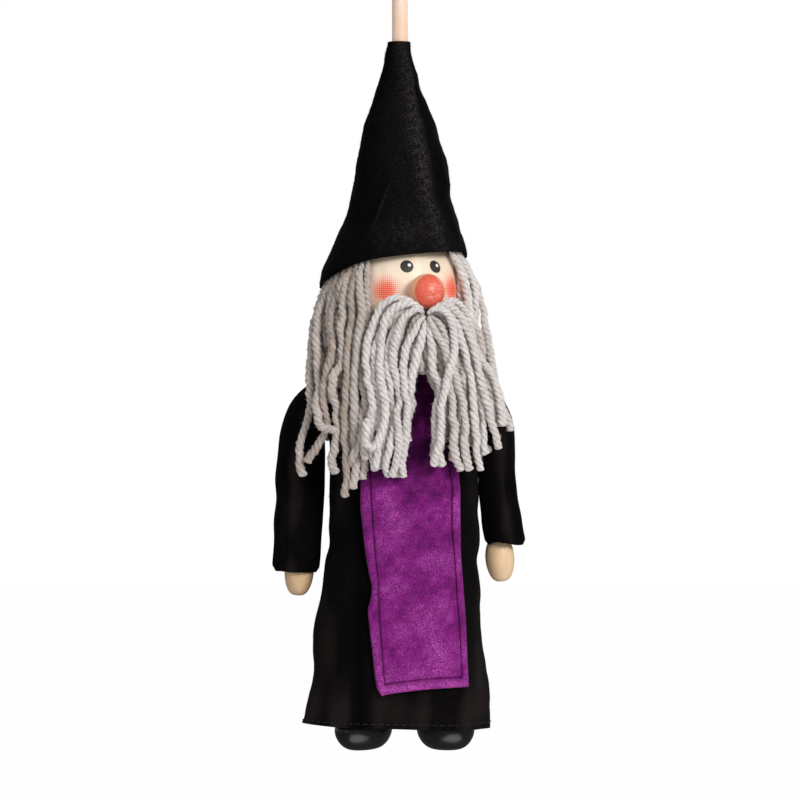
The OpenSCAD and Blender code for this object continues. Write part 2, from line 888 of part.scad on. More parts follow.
// The distance out from the armpit is measured this far down
sleeve_drop = 66;

// Point of the top edge at angle a, which is 0 at the shoulder and 180 at the armpit
function armhole_point(a, inset) =
    let (
        y = (armhole_edge - inset) * sin(a),
        z = (z_sleeve_top + z_armpit) / 2 + ((z_sleeve_top - z_armpit) / 2 - inset) * cos(a)
    )
    [robe_side(y, robe_t(z_board - z)) + cloth_gap + 0.15, y, z];

// Point of the tube at angle a and a distance below the armpit
function tube_point(a, down, wide, out, inset) =
    let (
        top = max(robe_chest_w + sleeve_off + wide / 2, shoulder_x + sleeve_hang),
        mid = top + out * pow(down / sleeve_drop, 1.5),
        f = sleeve_fold * cos(5 * a + 30) * ease(down / sleeve_fold_l)
    )
    [mid + (wide / 2 + f - inset) * cos(a), (sleeve_t / 2 + f - inset) * sin(a), z_armpit - down];

// Point of the shoulder, a share t of the way from the armhole p to the tube q
function shoulder_point(p, q, t) =
    let (bend = [q[0] * 0.86 + p[0] * 0.14, (p[1] + q[1]) / 2, p[2] * 0.7 + q[2] * 0.3])
    p * (1 - t) * (1 - t) + bend * 2 * t * (1 - t) + q * t * t;

module sleeve(side, length, wide, out) {
    bend_rows = 6;
    tube_rows = 10;
    tube_top = 1;
    tube_l = length + z_armpit - z_board;
    point = function(i, a, inset) i <= bend_rows
        ? shoulder_point(armhole_point(a, inset), tube_point(a, tube_top, wide, out, inset), i / bend_rows)
        : tube_point(a, tube_top + (tube_l - tube_top) * (i - bend_rows) / tube_rows, wide, out, inset);
    ring = function(i, inset) [
        for (j = [0:sleeve_n - 1]) point(i, 360 * j / sleeve_n, inset)
    ];
    last = bend_rows + tube_rows;
    color(black_felt)
        mirror([side < 0 ? 1 : 0, 0, 0])
            cloth(concat(
                [for (i = [0:last]) ring(i, 0)],
                [for (i = [last:-1:0]) ring(i, sleeve_wall)]
            ));
}

// Legs

// Puts its children at a hip's lower pivot, with the leg hanging straight down
module leg_place(side) {
    translate([side * leg_x, 0, z_hip_splay])
        rotate([0, -leg_lean, 0])
            children();
}

module hip_eye(side) {
    translate([side * leg_x, 0, z_body_foot - eye_r])
        screw_eye();
}

module hip_ring(side) {
    translate([side * leg_x, 0, z_hip_splay])
        link_ring();
}

module leg_eye(side) {
    leg_place(side)
        translate([0, 0, link_step - loop_d / 2])
            mirror([0, 0, 1])
                screw_eye();
}

module leg(side) {
    round_r = 2;
    color(beech)
        leg_place(side)
            translate([0, 0, -tail_drop])
                difference() {
                    rotate_extrude()
                        polygon(concat(
                            [[0, -leg_l], [leg_d / 2, -leg_l]],
                            [for (i = [0:5])
                                [leg_d / 2 - round_r * (1 - cos(18 * i)), -round_r * (1 - sin(18 * i))]
                            ],
                            [[0, 0]]
                        ));
                    mirror([0, 0, 1])
                        pilot();
                }
}

// Rows of a shoe: share of its height, and share of its length and width
shoe_rows = [[0, 0.72], [0.08, 0.86], [0.2, 0.96], [0.36, 1], [0.55, 0.96], [0.74, 0.82], [0.9, 0.58], [1, 0.36]];

module shoe(side) {
    n = 28;
    color(black_paint)
        leg_place(side)
            translate([0, 0, -tail_drop - leg_l + shoe_seat - shoe_h])
                difference() {
                    rotate([0, 0, side * toe_out])
                        skin([for (i = [len(shoe_rows) - 1:-1:0])
                            [for (j = [0:n - 1])
                                let (
                                    a = 360 * j / n,
                                    r = shoe_rows[i]
                                )
                                [shoe_w / 2 * r[1] * cos(a), shoe_l / 2 * r[1] * sin(a), shoe_h * r[0]]
                            ]
                        ]);
                    translate([0, 0, shoe_h - shoe_seat - glue_gap])
                        cylinder(d = leg_d + 2 * glue_gap, h = shoe_seat + over);
                }
}

control_rod();
head();
nose();
hat();
hair_left();
hair_right();
hair_back();
beard_left();
beard_right();
beard_knot();
head_eye();
neck_ring_upper();
neck_ring_lower();
neck_eye();
shoulder_board();
body();
robe();
front_panel();
shoulder_eye(-1);  // shoulder_eye_left
shoulder_ring(-1);  // shoulder_ring_left
arm_eye(-1);  // arm_eye_left
arm(-1, left_arm_l);  // arm_left
hand(-1, left_arm_l);  // hand_left
sleeve(-1, left_sleeve_l, left_sleeve_w, left_cuff_out);  // sleeve_left
shoulder_eye(1);  // shoulder_eye_right
shoulder_ring(1);  // shoulder_ring_right
arm_eye(1);  // arm_eye_right
arm(1, right_arm_l);  // arm_right
hand(1, right_arm_l);  // hand_right
sleeve(1, right_sleeve_l, right_sleeve_w, right_cuff_out);  // sleeve_right
hip_eye(-1);  // hip_eye_left
hip_ring(-1);  // hip_ring_left
leg_eye(-1);  // leg_eye_left
leg(-1);  // leg_left
shoe(-1);  // shoe_left
hip_eye(1);  // hip_eye_right
hip_ring(1);  // hip_ring_right
leg_eye(1);  // leg_eye_right
leg(1);  // leg_right
shoe(1);  // shoe_right
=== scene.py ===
import json
import math

import bpy
import numpy as np
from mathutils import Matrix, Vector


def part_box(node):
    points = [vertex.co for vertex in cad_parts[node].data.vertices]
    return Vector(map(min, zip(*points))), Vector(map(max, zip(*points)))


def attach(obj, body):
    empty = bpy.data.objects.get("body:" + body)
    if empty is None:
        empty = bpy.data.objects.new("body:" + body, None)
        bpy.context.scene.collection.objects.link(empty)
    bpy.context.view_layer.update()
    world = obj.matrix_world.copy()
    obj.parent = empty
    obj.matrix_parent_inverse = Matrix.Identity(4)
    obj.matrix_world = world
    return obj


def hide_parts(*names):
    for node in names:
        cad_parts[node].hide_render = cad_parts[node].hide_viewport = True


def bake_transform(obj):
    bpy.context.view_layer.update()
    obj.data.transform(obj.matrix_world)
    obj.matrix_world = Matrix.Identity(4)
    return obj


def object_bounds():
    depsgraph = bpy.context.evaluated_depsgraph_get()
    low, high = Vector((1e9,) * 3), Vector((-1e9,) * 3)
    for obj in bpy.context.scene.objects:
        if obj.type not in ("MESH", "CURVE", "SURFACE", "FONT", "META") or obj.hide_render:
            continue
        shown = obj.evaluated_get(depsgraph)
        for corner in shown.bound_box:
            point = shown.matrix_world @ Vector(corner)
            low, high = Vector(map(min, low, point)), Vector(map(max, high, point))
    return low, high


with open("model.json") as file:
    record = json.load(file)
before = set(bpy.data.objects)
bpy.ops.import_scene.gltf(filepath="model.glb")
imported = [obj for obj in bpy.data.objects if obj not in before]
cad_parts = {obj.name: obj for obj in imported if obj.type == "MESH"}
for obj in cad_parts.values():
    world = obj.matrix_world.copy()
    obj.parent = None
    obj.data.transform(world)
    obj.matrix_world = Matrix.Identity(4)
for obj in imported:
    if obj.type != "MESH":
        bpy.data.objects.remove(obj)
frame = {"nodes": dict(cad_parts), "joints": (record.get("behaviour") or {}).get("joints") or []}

MM = 0.001
cad_low, cad_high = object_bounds()


def node_box(node):
    """Lowest and highest corner of a CAD node, in millimetres."""
    low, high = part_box(node)
    return np.array(low) / MM, np.array(high) / MM


# Places and sizes that the frame gives

head_low, head_high = node_box("head")
nose_low, nose_high = node_box("nose")
z_tip = node_box("hat")[1][2]
z_board = node_box("shoulder_board")[1][2]
z_hem = node_box("robe")[0][2]

# The head nods about its own left to right, so the axis of the nod gives the bearing of the face
nod_axis = next(j["axis"] for j in frame["joints"] if j["name"] == "neck_nod")
face_bearing = math.atan2(nod_axis[1], nod_axis[0])
face_side = np.array([math.cos(face_bearing), math.sin(face_bearing), 0])
face_way = np.array([math.sin(face_bearing), -math.cos(face_bearing), 0])

head_r = (head_high[0] - head_low[0]) / 2
# Half height of the whole egg, before its foot is cut flat, and how full its curve is
egg_half = 33.5
egg_full = 2.3
head_middle = np.array([0, 0, head_high[2] - egg_half])
z_head = head_middle[2]
nose_r = (nose_high[2] - nose_low[2]) / 2
# The nose's peg runs back into the head, so its ball is placed from its front and its right side, and
# then moved a little to where the photo shows it
nose_shift = np.array([-0.5, 0, -0.6])
nose_middle = nose_shift + [nose_high[0] - nose_r, nose_low[1] + nose_r, (nose_high[2] + nose_low[2]) / 2]

# Felt
hat_wall = 1.2
robe_wall = 1.3
sleeve_wall = 1.2
panel_wall = 1.3
# Slack between cloth and what carries it
cloth_gap = 0.35
# Loose fibres that stand up from each large piece of felt
nap_count = 9000

# Yarn: radius of a strand, depth of the grooves between its three plies, and length of one turn
yarn_r = 2.05
yarn_groove = 0.24
yarn_pitch = 10

# Functions for shapes


def through(rows, t):
    """Smooth curve through evenly spaced rows of numbers, at parameters t from 0 to 1 (Catmull-Rom)."""
    rows = np.asarray(rows, float)
    last = len(rows) - 1
    s = np.clip(np.asarray(t, float) * last, 0, last - 1e-9)
    i = np.floor(s).astype(int)
    f = (s - i)[..., None]
    a, b, c, d = (rows[np.clip(i + k, 0, last)] for k in (-1, 0, 1, 2))
    return 0.5 * (2 * b + (c - a) * f + (2 * a - 5 * b + 4 * c - d) * f**2 + (3 * b - a - 3 * c + d) * f**3)


def ease(t):
    """Smooth step from 0 to 1."""
    t = np.clip(t, 0, 1)
    return t * t * (3 - 2 * t)


def power(v, e):
    """Signed power, which turns a circle into a rounded rectangle."""
    return np.sign(v) * np.abs(v) ** e


def bell(v, middle, width):
    """Bump of height 1 at a middle, which falls off over a width."""
    return np.exp(-((np.asarray(v) - middle) / width) ** 2)


def unit(v):
    """Vectors of length 1 along the last axis."""
    return v / np.maximum(np.linalg.norm(v, axis=-1, keepdims=True), 1e-9)


def ring_angles(count):
    """Angles of points spaced evenly once round."""
    return 2 * np.pi * np.arange(count) / count


def off_angle(turn, middle):
    """How far an angle lies from a middle, between -pi and pi."""
    return np.angle(np.exp(1j * (turn - middle)))


def arc_of(path):
    """Distance along a path from its first point to each of its points."""
    return np.concatenate([[0], np.cumsum(np.linalg.norm(np.diff(path, axis=0), axis=1))])


def points_at(path, arc, place):
    """Points of a path at places along it, where arc is the place of each of its own points."""
    return np.stack([np.interp(place, arc, path[:, k]) for k in range(path.shape[1])], -1)


def soften(lines):
    """Moves the inner points of each line halfway to the middle of their neighbours."""
    lines[:, 1:-1] = lines[:, 1:-1] * 0.5 + (lines[:, :-2] + lines[:, 2:]) * 0.25


def wander(points, size, seed):
    """Smooth noise from about -1 to 1: the mean of sine waves in random directions, each about as long as
    a size, times two."""
    rng = np.random.default_rng(seed)
    waves = 9
    total = np.zeros(points.shape[:-1])
    for _ in range(waves):
        way = rng.normal(size=3)
        way /= np.linalg.norm(way) * size * rng.uniform(0.7, 1.5)
        total += np.sin(2 * np.pi * (points @ way + rng.uniform()))
    return total * 2 / waves


# Functions for meshes


def cells(rows, cols, round_cols):
    """Corner numbers of the faces between neighbouring points of a grid. Each row may close on itself."""
    i = np.arange(rows - 1)[:, None]
    j = np.arange(cols if round_cols else cols - 1)[None, :]
    k = (j + 1) % cols
    return np.stack([i * cols + j, i * cols + k, (i + 1) * cols + k, (i + 1) * cols + j], -1).reshape(-1, 4)


def tube_faces(count, rings, sides):
    """Corner numbers for tubes whose points follow each other, ring by ring: the sides, and an end face
    for each end."""
    first = np.arange(count) * rings * sides
    walls = (first[:, None, None] + cells(rings, sides, True)[None]).reshape(-1, 4)
    ends = np.concatenate([
        first[:, None] + np.arange(sides)[::-1],
        first[:, None] + (rings - 1) * sides + np.arange(sides),
    ])
    return walls, ends


def make_mesh(name, points, face_groups, uv=None, values=None):
    """Object with smooth faces over points in millimetres. A face group is an array of corner numbers,
    one row a face. uv is one pair for each point, and values are named numbers for each point."""
    mesh = bpy.data.meshes.new(name)
    points = np.asarray(points, float).reshape(-1, 3)
    corners = np.concatenate([g.ravel() for g in face_groups]).astype(np.int32)
    sizes = np.concatenate([np.full(len(g), g.shape[1]) for g in face_groups])
    starts = (np.cumsum(sizes) - sizes).astype(np.int32)
    mesh.vertices.add(len(points))
    mesh.vertices.foreach_set("co", (points * MM).astype(np.float32).ravel())
    mesh.loops.add(len(corners))
    mesh.polygons.add(len(sizes))
    mesh.polygons.foreach_set("loop_start", starts)
    mesh.polygons.foreach_set("vertices", corners)
    mesh.polygons.foreach_set("use_smooth", np.ones(len(sizes), bool))
    mesh.update(calc_edges=True)
    if uv is not None:
        layer = mesh.uv_layers.new(name="UVMap")
        layer.data.foreach_set("uv", np.asarray(uv, np.float32).reshape(-1, 2)[corners].ravel())
    for key, value in (values or {}).items():
        data = mesh.attributes.new(key, "FLOAT", "POINT")
        data.data.foreach_set("value", np.asarray(value, np.float32).ravel())
    mesh.validate()
    obj = bpy.data.objects.new(name, mesh)
    bpy.context.scene.collection.objects.link(obj)
    return obj


def make_surface(name, grid, round_cols=False, flip=False, values=None):
    """Open sheet over a grid of points, rows first."""
    faces = cells(*grid.shape[:2], round_cols)
    return make_mesh(name, grid, [faces[:, ::-1] if flip else faces], values=values)


def make_closed(name, grid, top, foot):
    """Closed body over rings of points that run anticlockwise seen from above, top ring first, with a
    pole above and one below."""
    rows, cols = grid.shape[:2]
    points = np.concatenate([grid.reshape(-1, 3), [top, foot]])
    j = np.arange(cols)
    k = (j + 1) % cols
    pole = rows * cols
    low = (rows - 1) * cols
    fans = np.concatenate([
        np.stack([np.full(cols, pole), j, k], -1),
        np.stack([np.full(cols, pole + 1), low + k, low + j], -1),
    ])
    return make_mesh(name, points, [cells(rows, cols, True)[:, ::-1], fans])


def thicken(obj, wall):
    """Gives an open sheet its thickness in millimetres, inwards from its outside."""
    solid = obj.modifiers.new("thickness", "SOLIDIFY")
    solid.thickness = wall * MM
    solid.offset = -1
    solid.use_even_offset = True
    solid.thickness_clamp = 2


def dress(obj, finish, body=None, replaces=()):
    """Gives a piece its material, the body it rides on and the CAD nodes it stands for."""
    obj.data.materials.append(finish)
    if body:
        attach(obj, body)
    if replaces:
        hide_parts(*replaces)


def make_stitches(name, path, long, gap, thick, lift):
    """Row of stitches along a path of points, each a small bowed thread that dips at its ends. Along a
    stitch the centre rises by the sine of the way through it, and rings of six points go round it."""
    rings, sides = 5, 6
    arc = arc_of(path)
    starts = np.arange(0, arc[-1] - long, long + gap)
    share = np.linspace(0, 1, rings)
    place = starts[:, None] + long * share
    centre = points_at(path, arc, place)
    out = unit(points_at(lift, arc, place))
    side = np.cross(unit(np.gradient(centre, axis=1)), out)
    centre = centre + out * (thick * (0.8 * np.sin(np.pi * share) - 0.1))[None, :, None]
    turn = ring_angles(sides)[:, None]
    size = thick / 2 * (0.45 + 0.55 * np.sin(np.pi * share))[None, :, None, None]
    ring = out[:, :, None] * np.cos(turn) + side[:, :, None] * np.sin(turn)
    return make_mesh(name, centre[:, :, None] + ring * size, tube_faces(len(starts), rings, sides))


def slivers(base, out, along, long, wide, rng):
    """Loose fibres: from its base each goes outwards and a little along, bends, and ends in a point.
    Returns five points, a quad and a triangle for each."""
    count = len(base)
    spin = rng.normal(size=(count, 3))
    way = unit(out * 0.7 + along * rng.normal(0, 0.8, (count, 1)) + spin * 0.35)
    bend = unit(way + along * rng.normal(0, 0.5, (count, 1)) + rng.normal(0, 0.3, (count, 3)))
    reach = long * rng.uniform(0.3, 1.0, (count, 1))
    across = unit(np.cross(way, spin)) * wide / 2
    middle = base + way * reach * 0.5
    points = np.stack([
        base - across, base + across, middle + across, middle - across, middle + bend * reach * 0.5,
    ], 1)
    first = np.arange(count)[:, None] * 5
    return points.reshape(-1, 3), first + [0, 1, 2, 3], first + [3, 2, 4]


def make_nap(name, grid, count, long, seed):
    """Fibres that stand up from a tube or sheet of felt, at random places on its grid."""
    rng = np.random.default_rng(seed)
    fibre = 0.07
    out = unit(np.cross(np.gradient(grid, axis=0), np.gradient(grid, axis=1)))
    middle = grid.mean(1, keepdims=True) * [1, 0, 1]
    out = out * np.sign(((grid - middle) * out).sum(-1, keepdims=True))
    i, j = rng.integers(1, grid.shape[0] - 1, count), rng.integers(1, grid.shape[1] - 1, count)
    f, g = rng.uniform(0, 1, (2, count, 1))
    base = grid[i, j] + (grid[i - 1, j] - grid[i, j]) * f + (grid[i, j - 1] - grid[i, j]) * g
    along = unit(grid[i - 1, j] - grid[i, j])
    points, quads, tips = slivers(base - out[i, j] * 0.1, out[i, j], along, long, fibre, rng)
    return make_mesh(name, points, [quads, tips])


# Functions for materials


def paint(code):
    """A colour written as sRGB hex, as the linear RGBA that a shader takes."""
    parts = [int(code[i:i + 2], 16) / 255 for i in (1, 3, 5)]
    return [*(c / 12.92 if c <= 0.04045 else ((c + 0.055) / 1.055) ** 2.4 for c in parts), 1.0]


def add(tree, kind, inputs=None, out=0, **settings):
    """Adds a shader node and returns one of its outputs. An input is a value or another node's output."""
    made = tree.nodes.new("ShaderNode" + kind)
    for name, value in settings.items():
        setattr(made, name, value)
    for name, value in (inputs or {}).items():
        if isinstance(value, bpy.types.NodeSocket):
            tree.links.new(value, made.inputs[name])
        else:
            made.inputs[name].default_value = value
    return made.outputs[out]


def new_material(name, sockets):
    """Material with one Principled shader, whose plain values are set on its own sockets."""
    made = bpy.data.materials.new(name)
    made.use_nodes = True
    tree = made.node_tree
    shader = tree.nodes["Principled BSDF"]
    for socket, value in sockets.items():
        shader.inputs[socket].default_value = value
    return made, tree, shader


def per_mm(*sizes):
    """Texture scale for blobs of these sizes in millimetres, on coordinates in metres."""
    return [1 / (s * MM) for s in sizes]


def grain(tree, place, scale, settings=None):
    """Pattern of blobs, stretched by its own scale along each axis."""
    stretched = add(tree, "Mapping", {"Vector": place, "Scale": scale})
    return add(tree, "TexNoise", {"Vector": stretched, "Scale": 1.0, **(settings or {})})


def lay_on(tree, shader, colour, height, depth, strength):
    """Gives a shader its colour, and a relief of a depth in millimetres that follows a height."""
    tree.links.new(colour, shader.inputs["Base Color"])
    relief = add(tree, "Bump", {"Height": height, "Distance": depth * MM, "Strength": strength})
    tree.links.new(relief, shader.inputs["Normal"])


def make_wood(name, light, dark, roughness, coat=0.0):
    """Bare turned beech, fine sanded: pale and even, with short darker ray flecks along the grain."""
    made, tree, shader = new_material(name, {
        "Roughness": roughness, "Coat Weight": coat, "Coat Roughness": 0.3,
    })
    place = add(tree, "TexCoord", out=3)
    flecks = grain(tree, place, per_mm(0.4, 0.4, 2.6))
    bands = grain(tree, place, per_mm(5, 5, 40), {"Detail": 3.0})
    band_share = add(tree, "MapRange", {0: bands, 1: 0.3, 2: 0.7})
    even = add(tree, "Mix", {0: band_share, 6: paint(light), 7: paint(dark)}, out=2, data_type="RGBA")
    fleck_share = add(tree, "MapRange", {0: flecks, 1: 0.58, 2: 0.75, 4: 0.5})
    colour = add(tree, "Mix", {0: fleck_share, 6: even, 7: paint(dark)}, out=2, data_type="RGBA")
    lay_on(tree, shader, colour, flecks, 0.05, 0.4)
    return made


def make_felt(name, dark, middle, light, sheen, sheen_tint, lint_and_painted_light, shade, even=0.0):
    """Napped wool felt: no weave, a mottled nap of short matted fibres, and hardly any gloss. Fibres are
    drawn about 0.6 mm long, coarser than real, so that the nap shows. The lint_and_painted_light attribute
    holds lint and painted light and shade: above 0 it lightens single fibres, or by an even share all of
    them, and below 0 it darkens all towards the shade colour, as painted shade."""
    fibre_size, clump_size = 0.6, 4.5
    made, tree, shader = new_material(name, {
        "Roughness": 1.0, "Specular IOR Level": 0.06, "Sheen Weight": sheen,
        "Sheen Roughness": 0.55, "Sheen Tint": paint(sheen_tint),
    })
    place = add(tree, "TexCoord", out=3)
    fibres = add(tree, "TexNoise", {
        "Vector": place, "Scale": 1 / (fibre_size * MM), "Detail": 4.0, "Roughness": 0.65,
    })
    clumps = add(tree, "TexNoise", {"Vector": place, "Scale": 1 / (clump_size * MM), "Detail": 3.0})
    clump_share = add(tree, "MapRange", {0: clumps, 1: 0.2, 2: 0.58})
    base = add(tree, "Mix", {0: clump_share, 6: paint(dark), 7: paint(middle)}, out=2, data_type="RGBA")
    fibre_share = add(tree, "MapRange", {0: fibres, 1: 0.5, 2: 0.78})
    colour = add(tree, "Mix", {0: fibre_share, 6: base, 7: paint(light)}, out=2, data_type="RGBA")
    pit_share = add(tree, "MapRange", {0: fibres, 1: 0.3, 2: 0.46, 3: 0.8, 4: 0.0})
    colour = add(tree, "Mix", {0: pit_share, 6: colour, 7: paint(dark)}, out=2, data_type="RGBA")
    # Lint, painted sheen, painted highlights and painted shade all come from this attribute
    amount = add(tree, "Attribute", out=2, attribute_name="lint_and_painted_light")
    caught = add(tree, "MapRange", {0: fibres, 1: 0.42, 2: 0.66, 3: even, 4: 1.0})
    above = add(tree, "Math", {0: amount, 1: caught}, operation="MULTIPLY", use_clamp=True)
    colour = add(tree, "Mix", {0: above, 6: colour, 7: paint(lint_and_painted_light)}, out=2, data_type="RGBA")
    below = add(tree, "Math", {0: amount, 1: -1.0}, operation="MULTIPLY", use_clamp=True)
    colour = add(tree, "Mix", {0: below, 6: colour, 7: paint(shade)}, out=2, data_type="RGBA")
    lay_on(tree, shader, colour, fibres, 0.35, 0.8)
    return made


def make_plain(name, dark, light, sockets, size, depth):
    """Even finish whose colour and surface vary a little, in blobs of a size in millimetres."""
    made, tree, shader = new_material(name, sockets)
    place = add(tree, "TexCoord", out=3)
    fine = add(tree, "TexNoise", {"Vector": place, "Scale": 1 / (size * MM), "Detail": 3.0})
    colour = add(tree, "Mix", {0: fine, 6: paint(dark), 7: paint(light)}, out=2, data_type="RGBA")
    lay_on(tree, shader, colour, fine, depth, 0.5)
    return made


# Beech dowel, planed and sanded: the palest wood, slightly pink
rod_finish = make_wood("beech_dowel", "#F8DDC8", "#E8C1A4", 0.5)
# Turned beech under a thin wax, which gives it a faint gloss. The left hand's copy is darker, as painted
# shade
limb_finish = make_wood("turned_beech", "#EED0AC", "#DDB78C", 0.48, 0.1)
shaded_hand_finish = make_wood("turned_beech_painted_shade", "#DCBC95", "#C9A278", 0.48, 0.1)
# Sawn beech inside the clothes: matt and a little browner
inner_finish = make_wood("rough_beech", "#DDB98C", "#C79A68", 0.65)
# Drawn steel wire, zinc plated: bright grey gloss, slightly clouded
wire_finish = make_plain("zinc_plated_wire", "#A3A6AA", "#B9BCC0", {
    "Roughness": 0.3, "Metallic": 1.0,
}, 0.4, 0.02)
# Black gloss lacquer, dipped over turned wood: deep black with broad soft highlights
lacquer_finish = make_plain("black_lacquer", "#121010", "#181514", {
    "Roughness": 0.3, "Specular IOR Level": 0.5,
}, 3, 0.03)
# Dyed wool felt, pressed and brushed up: the hat's is the deepest black, catches pale lint, and has painted
# shade at its sides and a painted highlight on a fold; the robe's and the sleeves' show brown painted sheen
# and painted shade; and the panel's is a mottled purple with painted highlight on its hems and painted shade
# in its groove and under the beard
hat_felt = make_felt(
    "black_hat_felt", "#010101", "#080708", "#151314", 0.02, "#8A8686", lint_and_painted_light="#4C4747", shade="#010101")
robe_felt = make_felt(
    "black_robe_felt", "#020102", "#080607", "#161213", 0.03, "#8A8084", lint_and_painted_light="#2B2422", shade="#020102",
    even=0.75)
panel_felt = make_felt(
    "purple_felt", "#5C1056", "#791A71", "#A4469C", 0.1, "#E0A0DC", lint_and_painted_light="#C15FB8", shade="#3A0838")
# Sewing thread, twisted tight and slightly waxed: dark, with a dull gloss
black_thread = make_plain("black_thread", "#070607", "#0F0C0F", {"Roughness": 0.7}, 0.3, 0.05)
purple_thread = make_plain("dark_purple_thread", "#16041A", "#260A2A", {"Roughness": 0.7}, 0.3, 0.05)

# Head and face


def egg_r(z):
    """Radius of the head at a height: r * (1 - |height above the middle / half height|^n)^(1/n), a little
    fuller than an ellipse."""
    return head_r * np.clip(1 - np.abs((z - z_head) / egg_half) ** egg_full, 0, 1) ** (1 / egg_full)


def face_point(turn, up):
    """Point on the head at an angle from the face's middle, in degrees, and a height above the middle."""
    b = face_bearing + math.radians(turn)
    r = egg_r(z_head + up)
    return np.array([r * math.sin(b), -r * math.cos(b), z_head + up])


def make_head():
    """Egg cut flat at its foot. Rings follow the cosine of an angle from the top, and where the ball of the
    nose sits, points are moved straight away from the ball's middle onto its seat."""
    rows, cols = 150, 288
    foot = math.acos((head_low[2] - z_head) / egg_half)
    height = z_head + egg_half * np.cos(np.linspace(0, foot, rows + 1)[1:])
    rings = np.stack([egg_r(height), height], -1)
    foot_r = rings[-1, 0]
    # More rings close the flat foot
    flat_rows = 7
    flat = np.stack([np.linspace(foot_r, 0, flat_rows + 2)[1:-1], np.full(flat_rows, head_low[2])], -1)
    rings = np.concatenate([rings, flat])
    turn = ring_angles(cols)
    grid = np.stack([
        rings[:, :1] * np.cos(turn), rings[:, :1] * np.sin(turn), np.repeat(rings[:, 1:], cols, 1),
    ], -1)
    # The seat keeps clear of the ball by a hair
    seat = nose_r + 0.05
    away = grid - nose_middle
    far = np.linalg.norm(away, axis=-1, keepdims=True)
    grid = np.where(far < seat, nose_middle + away / far * seat, grid)
    return make_closed("painted_head", grid, [0, 0, head_high[2]], [0, 0, head_low[2]])


def make_face_finish():
    """Pale primed beech under clear matt varnish. The eyes and the cheeks are printed on it: the eyes as
    charcoal discs with a white catchlight, the cheeks as red dots on a square grid that run together
    towards their middle."""
    # Each place is an angle from the face's middle in degrees and a height above the head's middle, and
    # the catchlight's is counted from its eye
    eye_turn, eye_up, eye_r = 16, 15.3, 3.3
    light_turn, light_up, light_r = 2.7, 0.6, 0.85
    soft_edge = 0.16
    cheeks = ((-37, 3.2), (37, 4.5))
    cheek_r = 10.0
    dot_pitch = 0.98
    made, tree, shader = new_material("printed_face", {
        "Roughness": 0.5, "Coat Weight": 0.15, "Coat Roughness": 0.35,
    })
    place = add(tree, "TexCoord", out=3)
    bands = add(tree, "MapRange", {0: grain(tree, place, per_mm(6, 6, 30)), 1: 0.3, 2: 0.7})
    skin = add(tree, "Mix", {0: bands, 6: paint("#FBE9D3"), 7: paint("#F3DBC0")}, out=2, data_type="RGBA")
    flecks = grain(tree, place, per_mm(0.5, 0.5, 2.5))
    fleck_share = add(tree, "MapRange", {0: flecks, 1: 0.6, 2: 0.78, 4: 0.25})
    skin = add(tree, "Mix", {0: fleck_share, 6: skin, 7: paint("#DDB993")}, out=2, data_type="RGBA")
    unevenness = add(tree, "MapRange", {
        0: add(tree, "TexNoise", {"Vector": place, "Scale": 1 / (2.5 * MM)}), 3: -0.8 * MM, 4: 0.8 * MM,
    })

    for cheek_turn, cheek_up in cheeks:
        b = face_bearing + math.radians(cheek_turn)
        tilt = math.atan2(cheek_up * head_r**2, egg_half**2 * egg_r(z_head + cheek_up))
        local = add(tree, "Mapping", {
            "Vector": place, "Location": face_point(cheek_turn, cheek_up) * MM, "Rotation": (-tilt, 0, b),
        }, vector_type="TEXTURE")
        # The screen is the sum of a wave across the cheek and one up it
        screen = 0.0
        for axis in (0, 2):
            way = add(tree, "SeparateXYZ", {0: local}, out=axis)
            angle = add(tree, "Math", {0: way, 1: 2 * math.pi / (dot_pitch * MM)}, operation="MULTIPLY")
            wave = add(tree, "Math", {0: angle}, operation="COSINE")
            screen = add(tree, "Math", {0: screen, 1: wave}, operation="ADD")
        from_middle = add(tree, "VectorMath", {0: local}, out=1, operation="LENGTH")
        ragged = add(tree, "Math", {0: from_middle, 1: unevenness}, operation="ADD")
        inside = add(tree, "MapRange", {
            0: ragged, 1: cheek_r * 0.9 * MM, 2: cheek_r * 1.02 * MM, 3: 1.0, 4: 0.0,
        })
        # The screen runs from -2 between the dots to 2 on them, and the cut rises from the middle outwards
        cut = add(tree, "MapRange", {
            0: ragged, 1: cheek_r * 0.1 * MM, 2: cheek_r * MM, 3: -1.2, 4: 1.7,
        }, interpolation_type="SMOOTHSTEP")
        over = add(tree, "Math", {0: screen, 1: cut}, operation="SUBTRACT")
        dots = add(tree, "MapRange", {0: over, 1: -0.3, 2: 0.3})
        wash = add(tree, "MapRange", {0: cut, 1: -1.8, 2: 1.5, 3: 0.62, 4: 0.04})
        for share, colour in ((wash, "#FF9A76"), (dots, "#F8543A")):
            factor = add(tree, "Math", {0: inside, 1: share}, operation="MULTIPLY")
            skin = add(tree, "Mix", {0: factor, 6: skin, 7: paint(colour)}, out=2, data_type="RGBA")

    for side in (-1, 1):
        for turn, up, r, colour in (
            (side * eye_turn, eye_up, eye_r, "#251F19"),
            (side * eye_turn + light_turn, eye_up + light_up, light_r, "#F7F1EA"),
        ):
            middle = face_point(turn, up) * MM
            gap = add(tree, "VectorMath", {0: place, 1: middle}, out=1, operation="DISTANCE")
            disc = add(tree, "MapRange", {
                0: gap, 1: (r - soft_edge) * MM, 2: (r + soft_edge) * MM, 3: 1.0, 4: 0.0,
            })
            skin = add(tree, "Mix", {0: disc, 6: skin, 7: paint(colour)}, out=2, data_type="RGBA")
    lay_on(tree, shader, skin, flecks, 0.03, 0.3)
    return made


def make_nose():
    """Ball with its pole along the face's direction: the ring at angle q from it has radius r sin(q)."""
    rows, cols = 72, 128
    q = np.linspace(0, math.pi, rows + 2)[1:-1, None]
    turn = ring_angles(cols)[:, None]
    ring = face_side * np.cos(turn) + np.array([0, 0, 1]) * np.sin(turn)
    grid = nose_middle + nose_r * (face_way * np.cos(q)[..., None] + ring[None] * np.sin(q)[..., None])
    pole = nose_r * face_way
    return make_closed("nose_ball", grid[:, ::-1], nose_middle + pole, nose_middle - pole)


